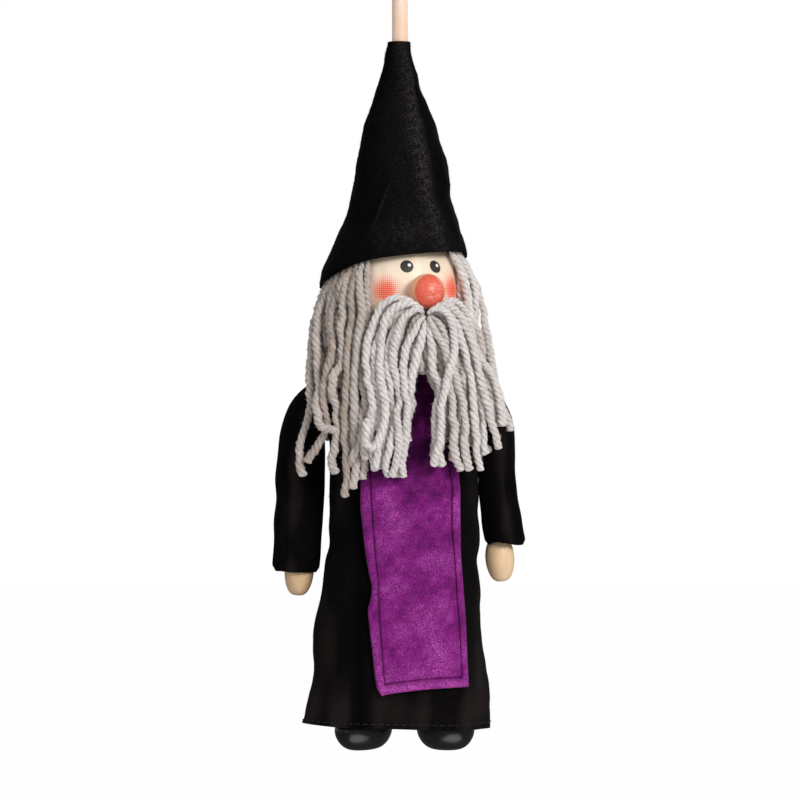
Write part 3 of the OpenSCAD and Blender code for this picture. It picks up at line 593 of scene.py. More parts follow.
def make_nose_finish():
    """Turned beech whose front half was dipped in red paint, thin enough for the wood's rings to show."""
    made, tree, shader = new_material("red_dipped_beech", {
        "Roughness": 0.42, "Coat Weight": 0.3, "Coat Roughness": 0.32,
    })
    place = add(tree, "TexCoord", out=3)
    away = add(tree, "VectorMath", {0: place, 1: nose_middle * MM}, operation="SUBTRACT")
    forward = add(tree, "VectorMath", {0: away, 1: face_way}, out=1, operation="DOT_PRODUCT")
    streaks = grain(tree, place, per_mm(1.2, 6, 0.7), {"Detail": 3.0})
    unevenness = add(tree, "MapRange", {
        0: add(tree, "TexNoise", {"Vector": place, "Scale": 1 / (2 * MM)}), 3: -0.5 * MM, 4: 0.5 * MM,
    })
    edge = add(tree, "Math", {0: forward, 1: unevenness}, operation="ADD")
    cap = add(tree, "MapRange", {
        0: edge, 1: nose_r * 0.28 * MM, 2: nose_r * 0.48 * MM,
    }, interpolation_type="SMOOTHSTEP")
    wood = add(tree, "Mix", {0: streaks, 6: paint("#FBC49C"), 7: paint("#F0AC82")}, out=2, data_type="RGBA")
    rings = add(tree, "MapRange", {0: streaks, 1: 0.35, 2: 0.7})
    red = add(tree, "Mix", {0: rings, 6: paint("#E2523A"), 7: paint("#EC7158")}, out=2, data_type="RGBA")
    # Painted highlight: pale strokes on the front of the red cap
    highlight_strokes = add(tree, "MapRange", {0: grain(tree, place, per_mm(3.5, 3.5, 0.45)), 1: 0.5, 2: 0.66})
    front = add(tree, "MapRange", {0: forward, 1: nose_r * 0.7 * MM, 2: nose_r * MM, 4: 0.75})
    pale = add(tree, "Math", {0: front, 1: highlight_strokes}, operation="MULTIPLY")
    red = add(tree, "Mix", {0: pale, 6: red, 7: paint("#FBB09C")}, out=2, data_type="RGBA")
    colour = add(tree, "Mix", {0: cap, 6: wood, 7: red}, out=2, data_type="RGBA")
    lay_on(tree, shader, colour, streaks, 0.05, 0.15)
    return made


dress(make_head(), make_face_finish(), "head", ["head"])
dress(make_nose(), make_nose_finish(), "head", ["nose"])

# Hat

# Reach of the hat to the left and to the right, at every 6 mm from its tip down
hat_rows = [
    [6.0, 5.2], [7.4, 5.6], [8.2, 7.0], [10, 8.8], [12, 10.2], [13.6, 12.8], [15.6, 15.4], [17.6, 18],
    [19.1, 19.6], [20.6, 21.6], [22, 23.2], [22.6, 24.1], [23.5, 25], [25, 25.2], [26.2, 27.4],
    [28.2, 29.5], [31.2, 31.3], [34, 33.2], [36.8, 34.8], [39.2, 36.2], [40.6, 37.2], [41.4, 38],
]
hat_step = 6
# How far the foot of the hat lies behind its tip, and the least radius, which clears the rod
hat_back = 5
hat_least_r = 5.35
# Bearing of the crease, in degrees to the right of the front, at shares down the hat
crease_rows = [[0, 32], [0.16, 35], [0.33, 25], [0.47, 25], [0.65, 28], [0.86, 36], [1, 38]]
# Height of the hat's edge at every 30 degrees from the left, by the front, right and back
hat_edge_rows = [-300.6, -296, -289, -286, -284.2, -283.5, -284.6, -287.4, -291.2, -295.4, -298.8, -300.6]


def hat_edge(turn):
    """Height of the hat's edge: a closed smooth curve, highest over the right cheek, lowest at the left."""
    ring = np.array(hat_edge_rows[-1:] + hat_edge_rows + hat_edge_rows[:2])[:, None]
    share = np.mod(np.asarray(turn) / (2 * np.pi) + 0.5, 1) * len(hat_edge_rows) + 1
    return through(ring, share / (len(ring) - 1))[..., 0]


def hat_ring(z):
    """Middle of the hat in x and y, and its radius, at heights z."""
    share = np.clip((z_tip - np.asarray(z, float)) / (hat_step * (len(hat_rows) - 1)), 0, 1)
    left, right = np.moveaxis(through(hat_rows, share), -1, 0)
    return (right - left) / 2, hat_back * share**2, (right + left) / 2


def make_hat():
    """Felt cone: at each angle the rows run from the tip to the edge, and the radius follows the rows of
    the hat, with soft dents, one long crease and a rolled edge."""
    rows, cols = 170, 256
    turn = ring_angles(cols)
    t = np.linspace(0, 1, rows)[:, None]
    z = z_tip + (hat_edge(turn)[None] - z_tip) * t
    middle_x, middle_y, radius = hat_ring(z)
    way = np.stack([np.cos(turn), np.sin(turn)], -1)
    # Noise is read on a plain tube, so that it doesn't shrink towards the tip
    plain = np.concatenate([np.broadcast_to(way * 30, (*z.shape, 2)), z[..., None]], -1)
    free = ease(t * 6)
    dents = wander(plain, 26, 11) * 0.4 + wander(plain, 11, 12) * 0.22 + wander(plain, 4.5, 13) * 0.14
    # The crease runs down the front, right of the middle
    off = off_angle(turn[None], np.radians(np.interp(t, *zip(*crease_rows)) - 90))
    ridge = 0.8 * bell(off, 0, 0.18) - 0.5 * bell(off, 0.36, 0.14) - 0.4 * bell(off, -0.4, 0.2)
    # A fold crosses the front just above the edge
    fold = -1.0 * bell(t, 0.76 + 0.05 * np.cos(turn[None] + 2.0), 0.02) * bell(off, -0.5, 0.7)
    fold = fold + 0.9 * bell(off + 0.75 - 1.1 * (t - 0.55), 0, 0.07) * bell(t, 0.72, 0.16)
    radius = radius + free * (dents + ridge * ease((t - 0.08) * 5) + fold) - 0.5 * bell(t, 1, 0.012)
    radius = np.maximum(radius, hat_least_r)
    grid = np.stack([middle_x + radius * way[:, 0], middle_y + radius * way[:, 1], z], -1)
    # Lint is caught along the crease and in a patch above the edge
    fuzz = bell(off * radius, 0, 4.2) * (0.38 + 0.42 * bell(t, 0.55, 0.3))
    fuzz = fuzz * (0.8 + 0.8 * wander(plain, 2.2, 14))
    patch = 0.26 * bell(t, 0.89, 0.06) * bell(off, -0.5, 0.45) * (0.7 + 1.2 * wander(plain, 2.2, 15))
    # Painted shade: both sides of the front are darker, and the front a little lighter as painted light
    lint_and_painted_light = np.maximum(fuzz, 0) + np.maximum(patch, 0) + 0.1 * bell(off, -0.4, 0.5)
    lint_and_painted_light = lint_and_painted_light - 0.8 * ease((np.abs(off + 0.4) - 0.6) / 0.5)
    # A slanting edge of the fold has a painted highlight, with painted shade at its left
    edge_x, edge_z, edge_slope = -5, -249.5, 0.38
    beside = grid[..., 0] - edge_x - (grid[..., 2] - edge_z) * edge_slope
    reach = bell(grid[..., 2], -264, 12) * (grid[..., 1] < 0)
    lint_and_painted_light = np.clip(lint_and_painted_light + reach * (0.4 * bell(beside, 0, 0.7) - 0.6 * bell(beside, -3.5, 2.5)), -1, 1)
    hat = make_surface("felt_hat", grid, round_cols=True, flip=True, values={"lint_and_painted_light": lint_and_painted_light})
    thicken(hat, hat_wall)
    return hat, grid


hat, hat_grid = make_hat()
dress(hat, hat_felt, "head", ["hat"])
hat_nap = make_nap("hat_nap", hat_grid, nap_count, 1.5, 71)
dress(hat_nap, hat_felt, "head")

# Robe

# Rows of the robe: distance below the board's top, middle in x, half width, half depth and share of the
# folds. The first three lie on the board
robe_lift = cloth_gap + robe_wall
robe_rows = [
    [-robe_lift - 0.3, 0, 17, 14.5, 0],
    [-robe_lift - 0.1, 0, 29.6, 15.8, 0],
    [-robe_lift, 0, 42.6, 17.2, 0],
    [1.6, 0, 43.65, 18.3, 0],
    [9, 0.2, 43.3, 21.3, 0],
    [17, 0.6, 39.9, 21.7, 0.05],
    [29, 1.4, 36.9, 23.2, 0.15],
    [51, 1.8, 37.1, 27.2, 0.2],
    [69, 2.0, 37.8, 30.1, 0.25],
    [83, 1.6, 38.4, 31.0, 0.35],
    [105, 0.2, 40.3, 32.8, 0.5],
    [128, -0.6, 43.4, 34.6, 0.75],
    [150, -0.5, 44.8, 36.2, 0.9],
    [z_board - z_hem, -1.2, 46.6, 37, 1],
]
# How far the robe is drawn in at its left and right side, at even steps down from below the board
dents_down, dents_step = 56, 8
robe_dents = [
    [0, 0], [0.5, 1.0], [0.5, 0.5], [1.4, 0.5], [0.5, 1.9], [1.0, 1.0], [1.5, 0.8], [1.0, 2.0], [0.4, 2.5],
    [0.5, 2.5], [1.0, 2.1], [1.5, 1.9], [0.6, 1.2], [0.2, 1.2],
]
# How square the robe is from above: 2 is an ellipse
robe_square = 2.6
robe_fold = 1.5
armhole_r = 11
z_armhole = z_board - 1 - armhole_r

# Shares down the rows, finely sampled, and their distances below the board's top
robe_t = np.linspace(0, 1, 2000)
robe_down = through(robe_rows, robe_t)[:, 0]


def robe_row(down):
    """Row of the robe at a distance below the board's top. The samples on the board itself are left out,
    since many of them lie at the same height."""
    hanging = slice(300, None)
    return through(robe_rows, np.interp(down, robe_down[hanging], robe_t[hanging]))


def robe_swell(turn, down, share):
    """How far the cloth stands out: folds that deepen towards the hem, and soft unevenness."""
    folds = (np.cos(7 * turn + 0.7) + 0.6 * np.cos(4 * turn - 1.0)) / 1.6
    lean = np.sin(3 * turn + down / 24) * 0.25 + np.sin(5 * turn - down / 15 + 2) * 0.18
    place = (down - dents_down) / (dents_step * (len(robe_dents) - 1))
    left, right = np.moveaxis(through(robe_dents, place), -1, 0)
    across = np.cos(turn)
    drawn_in = left * bell(across, -1, 0.45) + right * bell(across, 1, 0.45)
    return robe_fold * share * folds + lean * ease(share * 4) - drawn_in


def robe_outline(turn, t):
    """Rounded rectangle |x/a|^n + |y/b|^n = 1 at a share t down the rows, swollen by its folds."""
    row = through(robe_rows, t)
    swell = robe_swell(turn, row[..., 0], row[..., 4])
    x = row[..., 1] + (row[..., 2] + swell) * power(np.cos(turn), 2 / robe_square)
    y = (row[..., 3] + swell) * power(np.sin(turn), 2 / robe_square)
    return np.stack(np.broadcast_arrays(x, y, z_board - row[..., 0]), -1)


def robe_face(x, z):
    """How far the front of the robe lies before the middle at a place x, z. The angle comes from x."""
    row = robe_row(z_board - z)
    c = np.clip((x - row[..., 1]) / row[..., 2], -0.999, 0.999)
    turn = -np.arccos(power(c, robe_square / 2))
    swell = robe_swell(turn, row[..., 0], row[..., 4])
    return (row[..., 3] + swell) * (1 - np.abs(c) ** robe_square) ** (1 / robe_square)


def robe_side(side, y, z):
    """How far the side of the robe lies from the middle, at a place y, z."""
    row = robe_row(z_board - z)
    share = np.clip(np.abs(y) / row[..., 3], 0, 0.999)
    return row[..., 1] * side + row[..., 2] * (1 - share**robe_square) ** (1 / robe_square) + 0.3


def make_robe():
    """Tube of cloth from the neck opening over the board and down to the hem, with its armholes cut out:
    the cells inside an armhole are left out and the points round it are drawn onto its circle."""
    rows, cols = 260, 360
    # Rows are spaced evenly along the cloth, so that the shoulder gets its share
    arc = arc_of(through(robe_rows, robe_t)[:, [0, 2]])
    t = np.interp(np.linspace(0, arc[-1], rows), arc, robe_t)[:, None]
    # A rounded rectangle's corners take the even angles apart, so the angles are spaced along the outline
    # of a ring from the middle of the robe
    half_w, half_d = 40, 27
    fine = np.linspace(0, 2 * np.pi, 2881)
    corner = 2 / robe_square
    across, deep = half_w * power(np.cos(fine), corner), half_d * power(np.sin(fine), corner)
    around = arc_of(np.stack([across, deep], -1))
    turn = np.interp(np.arange(cols) / cols * around[-1], around, fine)[None]
    grid = robe_outline(turn, t)
    low = ease((t - 0.55) / 0.45)
    ripple = wander(grid * [1, 1, 0.45], 24, 21) * 1.1 + wander(grid, 9, 22) * 0.16
    out = unit(grid * [1, 1.6, 0])
    # The front lies calm under the panel
    calm = bell(grid[..., 0], 4, 30) * (grid[..., 1] < 0)
    grid = grid + out * (ripple * low * (1 - calm))[..., None]
    grid[..., 2] += low * ease((t - 0.97) / 0.03) * (1.0 - 1.5 * grid[..., 0] / 46 - 0.3 * np.sin(5 * turn))
    faces = cells(rows, cols, True)[:, ::-1]
    points = grid.reshape(-1, 3)
    centres = points[faces].mean(1)
    cut = (np.hypot(centres[:, 1], centres[:, 2] - z_armhole) < armhole_r) & (np.abs(centres[:, 0]) > 30)
    rim = np.intersect1d(faces[cut], faces[~cut])
    away = points[rim, 1:] - [0, z_armhole]
    points[rim, 1:] = [0, z_armhole] + unit(away) * armhole_r
    # Brown painted sheen lightens a fold at the left, the foot above the hem and bands at both sides, a
    # painted shadow darkens a strip beside the panel's left edge, and soft patches vary it
    x, z = points[:, 0], points[:, 2]
    sheen_and_shade = 0.5 * bell(x, -33, 3.5) * ease((-455 - z) / 30) + 0.3 * bell(z, z_hem + 9, 9)
    sheen_and_shade = sheen_and_shade + 0.2 * bell(x, -38, 5) + 0.3 * bell(x, 38, 4) - 0.8 * bell(x, -20, 4)
    sheen_and_shade = sheen_and_shade + 0.35 * wander(points * [1, 1, 0.4], 14, 23) - 0.1
    robe = make_mesh("felt_robe", points, [faces[~cut]], values={"lint_and_painted_light": np.clip(sheen_and_shade, -1, 1)})
    thicken(robe, robe_wall)
    return robe, grid


robe, robe_grid = make_robe()
dress(robe, robe_felt, "torso", ["robe"])
hem_row = robe_grid[-5, list(range(robe_grid.shape[1])) + [0]]
hem_stitches = make_stitches("hem_stitches", hem_row, 2.6, 1.2, 0.42, unit(hem_row * [1, 1.6, 0]))
dress(hem_stitches, black_thread, "torso")
robe_nap = make_nap("robe_nap", robe_grid[60:], nap_count, 1.1, 72)
dress(robe_nap, robe_felt, "torso")

# Front panel

# Rows of the panel: height, left edge, left seam, right seam and right edge
panel_rows = [
    [z_board + 5.6, 1, 6, 18, 23], [z_board - 4, -10, -6, 17, 21], [z_board - 13, -18, -14, 19, 23],
    [z_board - 22, -21, -16.4, 21.5, 25.5], [-396.4, -19.5, -14.8, 25.5, 29.2],
    [-408.8, -19.3, -14.2, 25.6, 29.6], [-421.1, -18, -13.3, 25.8, 29.7], [-433.4, -16.5, -12.3, 26.8, 29.9],
    [-442.5, -14.8, -11.3, 27.4, 30.5], [-447.7, -13.7, -11, 27.7, 30.9], [-452.6, -14, -10.8, 28, 31.3],
    [-458.9, -15.5, -10.6, 28.4, 31.7], [-466.4, -14.9, -10.1, 29, 32.2], [-478.3, -13.5, -9.2, 29.8, 32.7],
    [-490.9, -12.2, -8.2, 30.3, 33.2], [-501.2, -10.8, -7.1, 30.6, 33.7],
]
# Width of the turned hem at the foot, and how far the foot rises to the right
panel_hem = 4.6
panel_rise = 4.0
panel_long = panel_rows[0][0] - panel_rows[-1][0]


def panel_sides(s):
    """Left edge, left seam, right seam and right edge of the panel at a share s down it."""
    rows = np.array(panel_rows, float)
    share = np.interp(panel_long * s, rows[0, 0] - rows[:, 0], np.linspace(0, 1, len(rows)))
    return np.moveaxis(through(rows[:, 1:], share), -1, 0)


def panel_place(s, c):
    """Place x, z on the panel, a share s down it and a share c across it. Its foot rises quickly at the
    left, then little, and its left corner is round."""
    left, _, _, right = panel_sides(s)
    rise = panel_rise * (ease((s - 0.3) / 0.7) * (1 - (1 - c) ** 2.2) - 0.25)
    x = left + (right - left) * c + 1.8 * ease((s - 0.96) / 0.04) ** 2 * (1 - ease(c / 0.12))
    return x, panel_rows[0][0] - panel_long * s + rise


def panel_inset(s, c):
    """How far in from the edge a place is, as a share of the hem: 0 at the edge, 1 on the stitches."""
    left, seam_left, seam_right, right = panel_sides(s)
    x = left + (right - left) * c
    sides = np.minimum((x - left) / (seam_left - left), (right - x) / (right - seam_right))
    return np.minimum(sides, (1 - s) * panel_long / panel_hem)


def panel_out(x, z, s, c):
    """How far the panel's outside lies before the middle: the robe's front, a gap, its own thickness, the
    turned and padded hem as a half round, the groove pulled in by the stitches, and two soft folds under
    the beard. Above the board it leans back towards the neck."""
    inset = panel_inset(s, c)
    hem = 1.4 * np.sqrt(np.clip(1 - (2 * inset - 1) ** 2, 0, 1))
    groove = -1.0 * bell(inset, 1.02, 0.11)
    folds = 1.5 * bell(x, 10, 3.2) * ease((0.62 - s) / 0.4)
    folds = folds + 1.0 * bell(x, 17.5, 3.0) * ease((0.55 - s) / 0.35)
    uneven = 0.25 * np.sin(x / 7 + z / 19) * np.sin(z / 23 + 1) + 0.15 * np.sin(x / 3.5 - z / 11)
    front = robe_face(x, np.minimum(z, z_board - 4))
    front = front - 7 * ease((z - z_board + 6) / 13)
    return front + cloth_gap + panel_wall + 0.4 + hem + groove + folds + uneven


def make_panel():
    """Strip of felt down the front: a grid over its shares down and across, laid over the robe. Columns
    lie closer together at the hems."""
    rows, cols = 320, 120
    s = np.linspace(0, 1, rows)[:, None]
    even = np.linspace(-1, 1, cols)[None]
    c = 0.5 + 0.325 * even + 0.175 * np.sin(even * np.pi / 2)
    x, z = panel_place(s, c)
    grid = np.stack([x, -panel_out(x, z, s, c), z], -1)
    inset = panel_inset(s, c)
    # Painted highlight on the raised hem and along the foot's edge, mottled nap, lighter towards the foot,
    # and painted shade in the groove and under the beard
    wear_light_and_shade = 0.2 * bell(inset, 0.4, 0.4) + 0.4 * bell((1 - s) * panel_long, 1.5, 2.0)
    wear_light_and_shade = wear_light_and_shade + 0.42 * wander(grid, 20, 16) + 0.3 * wander(grid, 5, 17) + 0.12 + 0.15 * (s - 0.4)
    wear_light_and_shade = wear_light_and_shade - 1.1 * bell(inset, 1.03, 0.1) - 1.0 * ease((0.42 - s) / 0.16)
    panel = make_surface("purple_panel", grid, values={"lint_and_painted_light": np.clip(wear_light_and_shade, -1, 1)})
    thicken(panel, panel_wall)
    return panel, grid


def panel_seam():
    """Path of the panel's stitches, down the left side, along the foot and up the right side."""
    foot = 1 - panel_hem / panel_long
    down, over = np.linspace(0.1, foot, 160), np.linspace(0, 1, 50)
    s = np.concatenate([down, np.full(len(over), foot), down[::-1]])
    across = np.concatenate([np.zeros(len(down)), over, np.ones(len(down))])
    left, seam_left, seam_right, right = panel_sides(s)
    c = (seam_left + (seam_right - seam_left) * across - left) / (right - left)
    x, z = panel_place(s, c)
    return np.stack([x, -panel_out(x, z, s, c), z], -1)


panel, panel_grid = make_panel()
dress(panel, panel_felt, "torso", ["front_panel"])
seam = panel_seam()
forwards = np.tile([0.0, -1.0, 0.0], (len(seam), 1))
panel_stitches = make_stitches("panel_stitches", seam, 2.4, 0.25, 0.75, forwards)
dress(panel_stitches, purple_thread, "torso")
panel_nap = make_nap("panel_nap", panel_grid, nap_count, 0.9, 73)
dress(panel_nap, panel_felt, "torso")

# Sleeves

z_sleeve_top = z_board + 0.3
z_armpit = z_armhole - armhole_r - 3
armhole_edge = armhole_r + 1.6
sleeve_half_depth = 10.2
# Rows of the sleeves: distance below the armpit, and the inner and outer side as distances from the middle
left_sleeve_rows = [
    [0, 37.4, 60.2], [20, 37.5, 62.2], [32, 38.0, 62.0], [44, 39.0, 62.9], [56, 39.6, 63.0], [70, 40.6, 64.2],
]
right_sleeve_rows = [
    [0, 38.6, 57.6], [20, 38.8, 57.6], [32, 39.9, 59.3], [44, 41.2, 61.3], [57, 43.2, 63.2],
]


def left_cuff(turn):
    """How far the edge of the left cuff rises, at angles round it."""
    return 1.6 * bell(off_angle(turn, -0.4), 0, 0.6)


def right_cuff(turn):
    """How far the edge of the right cuff rises, at angles round it."""
    return 1.6 * bell(off_angle(turn, -2.0), 0, 0.7) + 0.8 * bell(off_angle(turn, 0), 0, 0.5)


def make_sleeve(side, name, length, rows, seam_turn, seam_step, slant):
    """Tube of felt from the rim of the armhole over the shoulder and down to the cuff. The first part is
    a quadratic bend from the rim to the top of the tube, and the tube follows its rows. A step along a
    seam lets one part hang behind the other, and a slant raises the edge of the cuff."""
    sides, bend_rings, tube_rings = 180, 40, 130
    turn = ring_angles(sides)
    rows = np.array(rows, float)
    tube_l = length + z_armpit - z_board

    def tube(down):
        """Points of the tube at distances below the armpit."""
        share = np.interp(down, rows[:, 0], np.linspace(0, 1, len(rows)))
        inner, outer = np.moveaxis(through(rows[:, 1:], share), -1, 0)
        half = (outer - inner) / 2 - 1.3 * ease((down - tube_l + 3.5) / 3.5) ** 2
        middle = (outer + inner) / 2
        fall = ease(down / 30)
        folds = 0.5 * np.cos(5 * turn + 0.5 + down / 30) + 0.35 * np.sin(3 * turn - down / 18)
        off = off_angle(turn, seam_turn)
        step = seam_step * (1 / (1 + np.exp(-off * 14)) - 0.5) * bell(off, 0, 0.7)
        groove = -1.3 * bell(off, 0, 0.1)
        swell = (folds * 0.8 + step + groove) * fall
        square = 2 / 2.3
        x = middle + (half + swell * 0.6) * power(np.cos(turn), square)
        y = (sleeve_half_depth + swell) * power(np.sin(turn), square)
        return np.stack(np.broadcast_arrays(x, y, z_armpit - down), -1)

    y = armhole_edge * np.sin(turn)
    z = (z_sleeve_top + z_armpit) / 2 + (z_sleeve_top - z_armpit) / 2 * np.cos(turn)
    # Angle 0 is the shoulder on the rim and the outer side on the tube
    rim = np.stack([robe_side(side, y, z) + cloth_gap + 0.15, y, z], -1)
    downs = np.linspace(1, tube_l, tube_rings)[:, None]
    arm = tube(downs)
    top = arm[0]
    # The bend's corner lies over the tube, at the height of the shoulder
    rim_share = np.array([0.14, 0.5, 0.7])
    bend = rim * rim_share + top * (1 - rim_share)
    t = np.linspace(0, 1, bend_rings)[:, None, None]
    shoulder = rim * (1 - t) ** 2 + bend * 2 * t * (1 - t) + top * t**2
    arm[..., 2] += ease((downs / tube_l - 0.5) / 0.5) * slant(turn)
    grid = np.concatenate([shoulder, arm[1:]])
    uneven = 0.25 * wander(grid, 16, 31 + side) * ease(np.linspace(0, 6, len(grid)))[:, None]
    grid = grid + unit(grid - grid.mean(1, keepdims=True)) * uneven[..., None]
    grid[..., 0] *= side
    # Painted light: the front of the sleeve is lighter as painted sheen and its sides darker as painted
    # shade, with soft patches
    front = off_angle(turn, -math.pi / 2)
    sheen_and_shade = -0.55 + 0.9 * bell(front, 0.2, 0.45) + 0.3 * wander(grid * [1, 1, 0.4], 12, 36 + side)
    sleeve = make_surface(name, grid, round_cols=True, flip=side > 0, values={"lint_and_painted_light": np.clip(sheen_and_shade, -1, 1)})
    thicken(sleeve, sleeve_wall)
    return sleeve


for side, name, length, rows, seam_turn, seam_step, cuff, cloth_long, cloth_area in (
    (-1, "left", 94, left_sleeve_rows, -62, 2.6, left_cuff, 0.098, 0.0058),
    (1, "right", 80.5, right_sleeve_rows, -72, -2.2, right_cuff, 0.085, 0.0048),
):
    sleeve = make_sleeve(side, f"felt_sleeve_{name}", length, rows, math.radians(seam_turn), seam_step, cuff)
    dress(sleeve, robe_felt, None, [f"sleeve_{name}"])
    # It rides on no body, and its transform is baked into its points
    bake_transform(sleeve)

# Hands and shoes


def leaning(points, pivot, lean):
    """Points turned by an angle round a pivot in the XZ plane, as the arm or leg hangs."""
    c, s = math.cos(lean), math.sin(lean)
    x, z = points[..., 0], points[..., 2]
    return np.stack([pivot[0] + x * c - z * s, pivot[1] + points[..., 1], pivot[2] + x * s + z * c], -1)


def make_oval(name, half, middle, fullness, lean, spin=0.0, foot=None):
    """Turned oval with half sizes in x, y and z: at an angle q from its top, its radius is sin(q) and its
    height is cos(q), with the lower half fuller than the upper one. foot cuts it flat."""
    half_w, half_d, half_h = half
    rows, cols = 80, 120
    q = np.linspace(0, math.pi, rows + 2)[1:-1, None]
    turn = ring_angles(cols)
    full = np.sin(q) ** (1 - fullness * (q > math.pi / 2) * np.sin(q - math.pi / 2))
    x, y = half_w * full * np.cos(turn), half_d * full * np.sin(turn)
    z = half_h * np.cos(q) + 0 * turn
    if foot is not None:
        z = np.maximum(z, foot)
    c, s = math.cos(spin), math.sin(spin)
    grid = leaning(np.stack([x * c - y * s, x * s + y * c, z], -1), middle, lean)
    top, low = leaning(np.array([[0, 0, half_h], [0, 0, z.min()]]), middle, lean)
    return make_closed(name, grid, top, low)


# Half sizes, lean, and how far each sits above the middle of its node
hand_half = (7.3, 7.3, 12.0)
hand_lean = math.radians(4)
hand_lift = 0.5
shoe_half = (12.5, 19.5, 10.2)
shoe_lean = math.radians(1.5)
# The toes point outwards
shoe_spin = math.radians(28)
shoe_lift = 0.6
for side, name in ((-1, "left"), (1, "right")):
    low, high = node_box(f"hand_{name}")
    middle = (low + high) / 2 + [0, 0, hand_lift]
    hand = make_oval(f"turned_hand_{name}", hand_half, middle, 0.3, side * hand_lean)
    # The left hand gets the darker copy of the wood, as painted shade
    dress(hand, shaded_hand_finish if side < 0 else limb_finish, f"arm_{name}", [f"hand_{name}"])
    low, high = node_box(f"shoe_{name}")
    middle = (low + high) / 2 + [0, 0, shoe_lift]
    shoe = make_oval(f"lacquered_shoe_{name}", shoe_half, middle, 0.4, shoe_lean, side * shoe_spin,
                     foot=low[2] - middle[2])
    dress(shoe, lacquer_finish, f"leg_{name}", [f"shoe_{name}"])

# Hair and beard

# Guides are strands drawn from root to tip, as points x, y, z. The strands between are mixed from the two
# nearest guides.
hair_left_guides = [
    [(-33, 2, -285), (-37.5, -3, -301.5), (-41.6, -7, -318), (-44.3, -12, -335), (-45, -17, -350),
     (-45.5, -18, -364), (-49, -18, -378), (-47.5, -17, -393)],
    [(-30, -10, -285), (-34, -14, -300), (-37.5, -17, -316), (-40, -20, -333), (-41, -22, -349),
     (-41.5, -23, -364), (-43, -22, -378), (-42, -21, -391)],
    [(-26, -16, -285), (-29.5, -20, -299), (-32.5, -22, -315), (-34.5, -24, -332), (-35.5, -25, -349),
     (-36, -25, -363), (-36.5, -24.5, -376), (-36, -24, -388)],
    [(-22.5, -21, -286), (-24.8, -25, -299), (-26.5, -27, -314), (-28.5, -28, -331), (-30, -28, -348),
     (-30.5, -28, -364), (-30.5, -27, -380), (-29.5, -26, -395)],
    [(-18.4, -22, -287), (-19.2, -26, -300), (-20, -28.5, -314), (-21.5, -29.5, -331), (-23, -29.5, -348),
     (-24.5, -29.5, -364), (-26, -28.5, -380), (-26, -28, -397)],
]
# The outer hair at the left is short beneath, so that the sleeve shows between the long strands
hair_left_short_guides = [
    [(-33, 4, -285), (-35.5, 2, -293), (-37.5, 0, -301), (-39, -3, -309), (-40, -5, -316),
     (-40.6, -7, -322), (-40.8, -9, -327), (-40.6, -10, -331)],
    [(-30, -8, -285), (-32, -10, -292), (-34, -12, -300), (-35.6, -13, -308), (-36.4, -14, -315),
     (-36.6, -15, -321), (-36.4, -16, -326), (-36, -16, -330)],
]
hair_right_guides = [
    [(28.4, -9, -282), (32.4, -7, -292), (33.6, -7.4, -303), (34.2, -11, -314), (34.6, -17, -325),
     (38, -20, -338), (43.5, -21.5, -352), (46.5, -21, -368)],
    [(30, -4, -283), (33, -4, -293), (34.6, -5, -303), (34.6, -8, -314), (35, -12, -325),
     (38.6, -16, -338), (46.5, -18, -352), (50, -18, -366)],
]
# Straight strands over the side of the head, which hang inside the others
hair_side_guides = [
    [(32, -3, -283), (34, -4, -292), (34.6, -4, -301), (34.8, -4, -310), (35, -4, -319), (35, -4, -328),
     (35.2, -4, -337), (35.5, -4, -345)],
    [(30.5, 10, -284), (33, 11, -293), (34, 11.4, -302), (34.2, 11.6, -311), (34.4, 11.6, -320),
     (34.5, 11.4, -329), (34.6, 11, -338), (34.8, 10.6, -346)],
]
beard_left_guides = [
    [(10, -36, -311), (2, -36, -307.5), (-6, -34.5, -310.5), (-10.5, -33.5, -319), (-13, -33, -332),
     (-15, -33, -350), (-19, -33, -370), (-24, -31.5, -396)],
    [(11, -36.5, -311.5), (4, -37.5, -309.5), (-2.5, -36.5, -312), (-6.5, -35.5, -321),
     (-8.5, -35.5, -334), (-10, -35, -350), (-13, -34, -371), (-16, -32.5, -394)],
    [(11.4, -37, -312.5), (6.5, -38.5, -311.5), (1.5, -38, -314.5), (-2, -37, -323), (-3.5, -36.5, -336),
     (-4.5, -36, -352), (-7, -35, -372), (-9, -33, -393)],
    [(11.8, -37, -314), (9, -38.5, -314), (6, -38.5, -318), (3.5, -38, -326), (2, -37, -338),
     (0.5, -36.5, -353), (-1.5, -35, -372), (-3, -33, -391)],
    [(12.2, -36.5, -317), (11, -37.5, -325), (9.6, -37.5, -334), (7.4, -37, -344), (3.6, -36.5, -353),
     (3.2, -36, -368), (1, -35, -382), (0.2, -33, -393)],
]
beard_right_guides = [
    [(15, -35, -313), (21, -33, -308.5), (28, -28, -308.5), (33.4, -25, -314), (35.6, -24, -325),
     (40.5, -24.5, -342), (45.5, -24.5, -360), (48, -24, -378)],
    [(14.8, -35.5, -313.5), (19.5, -35, -310.5), (26, -31.5, -311), (31, -29, -317.5),
     (34.5, -28.5, -329), (37.5, -28.5, -345), (39.5, -28, -362), (41.5, -27, -384)],
    [(14.6, -36.5, -314.5), (18, -37, -313), (23, -34.5, -314), (27, -32.5, -321), (30, -32, -332),
     (32, -31.5, -347), (33.5, -31, -364), (35, -29.5, -389)],
    [(14.3, -37, -316), (16.5, -38, -316), (19.5, -37, -319.5), (22, -35.5, -327), (24, -34.5, -337),
     (26, -34, -350), (26.8, -33, -366), (27, -31.5, -390)],
    [(13.8, -36.5, -318), (14.8, -37.5, -325), (15.5, -37.5, -334), (16.6, -37, -344),
     (19.7, -36.5, -352), (19.8, -36, -367), (18.8, -35, -379), (18.4, -33, -389)],
]
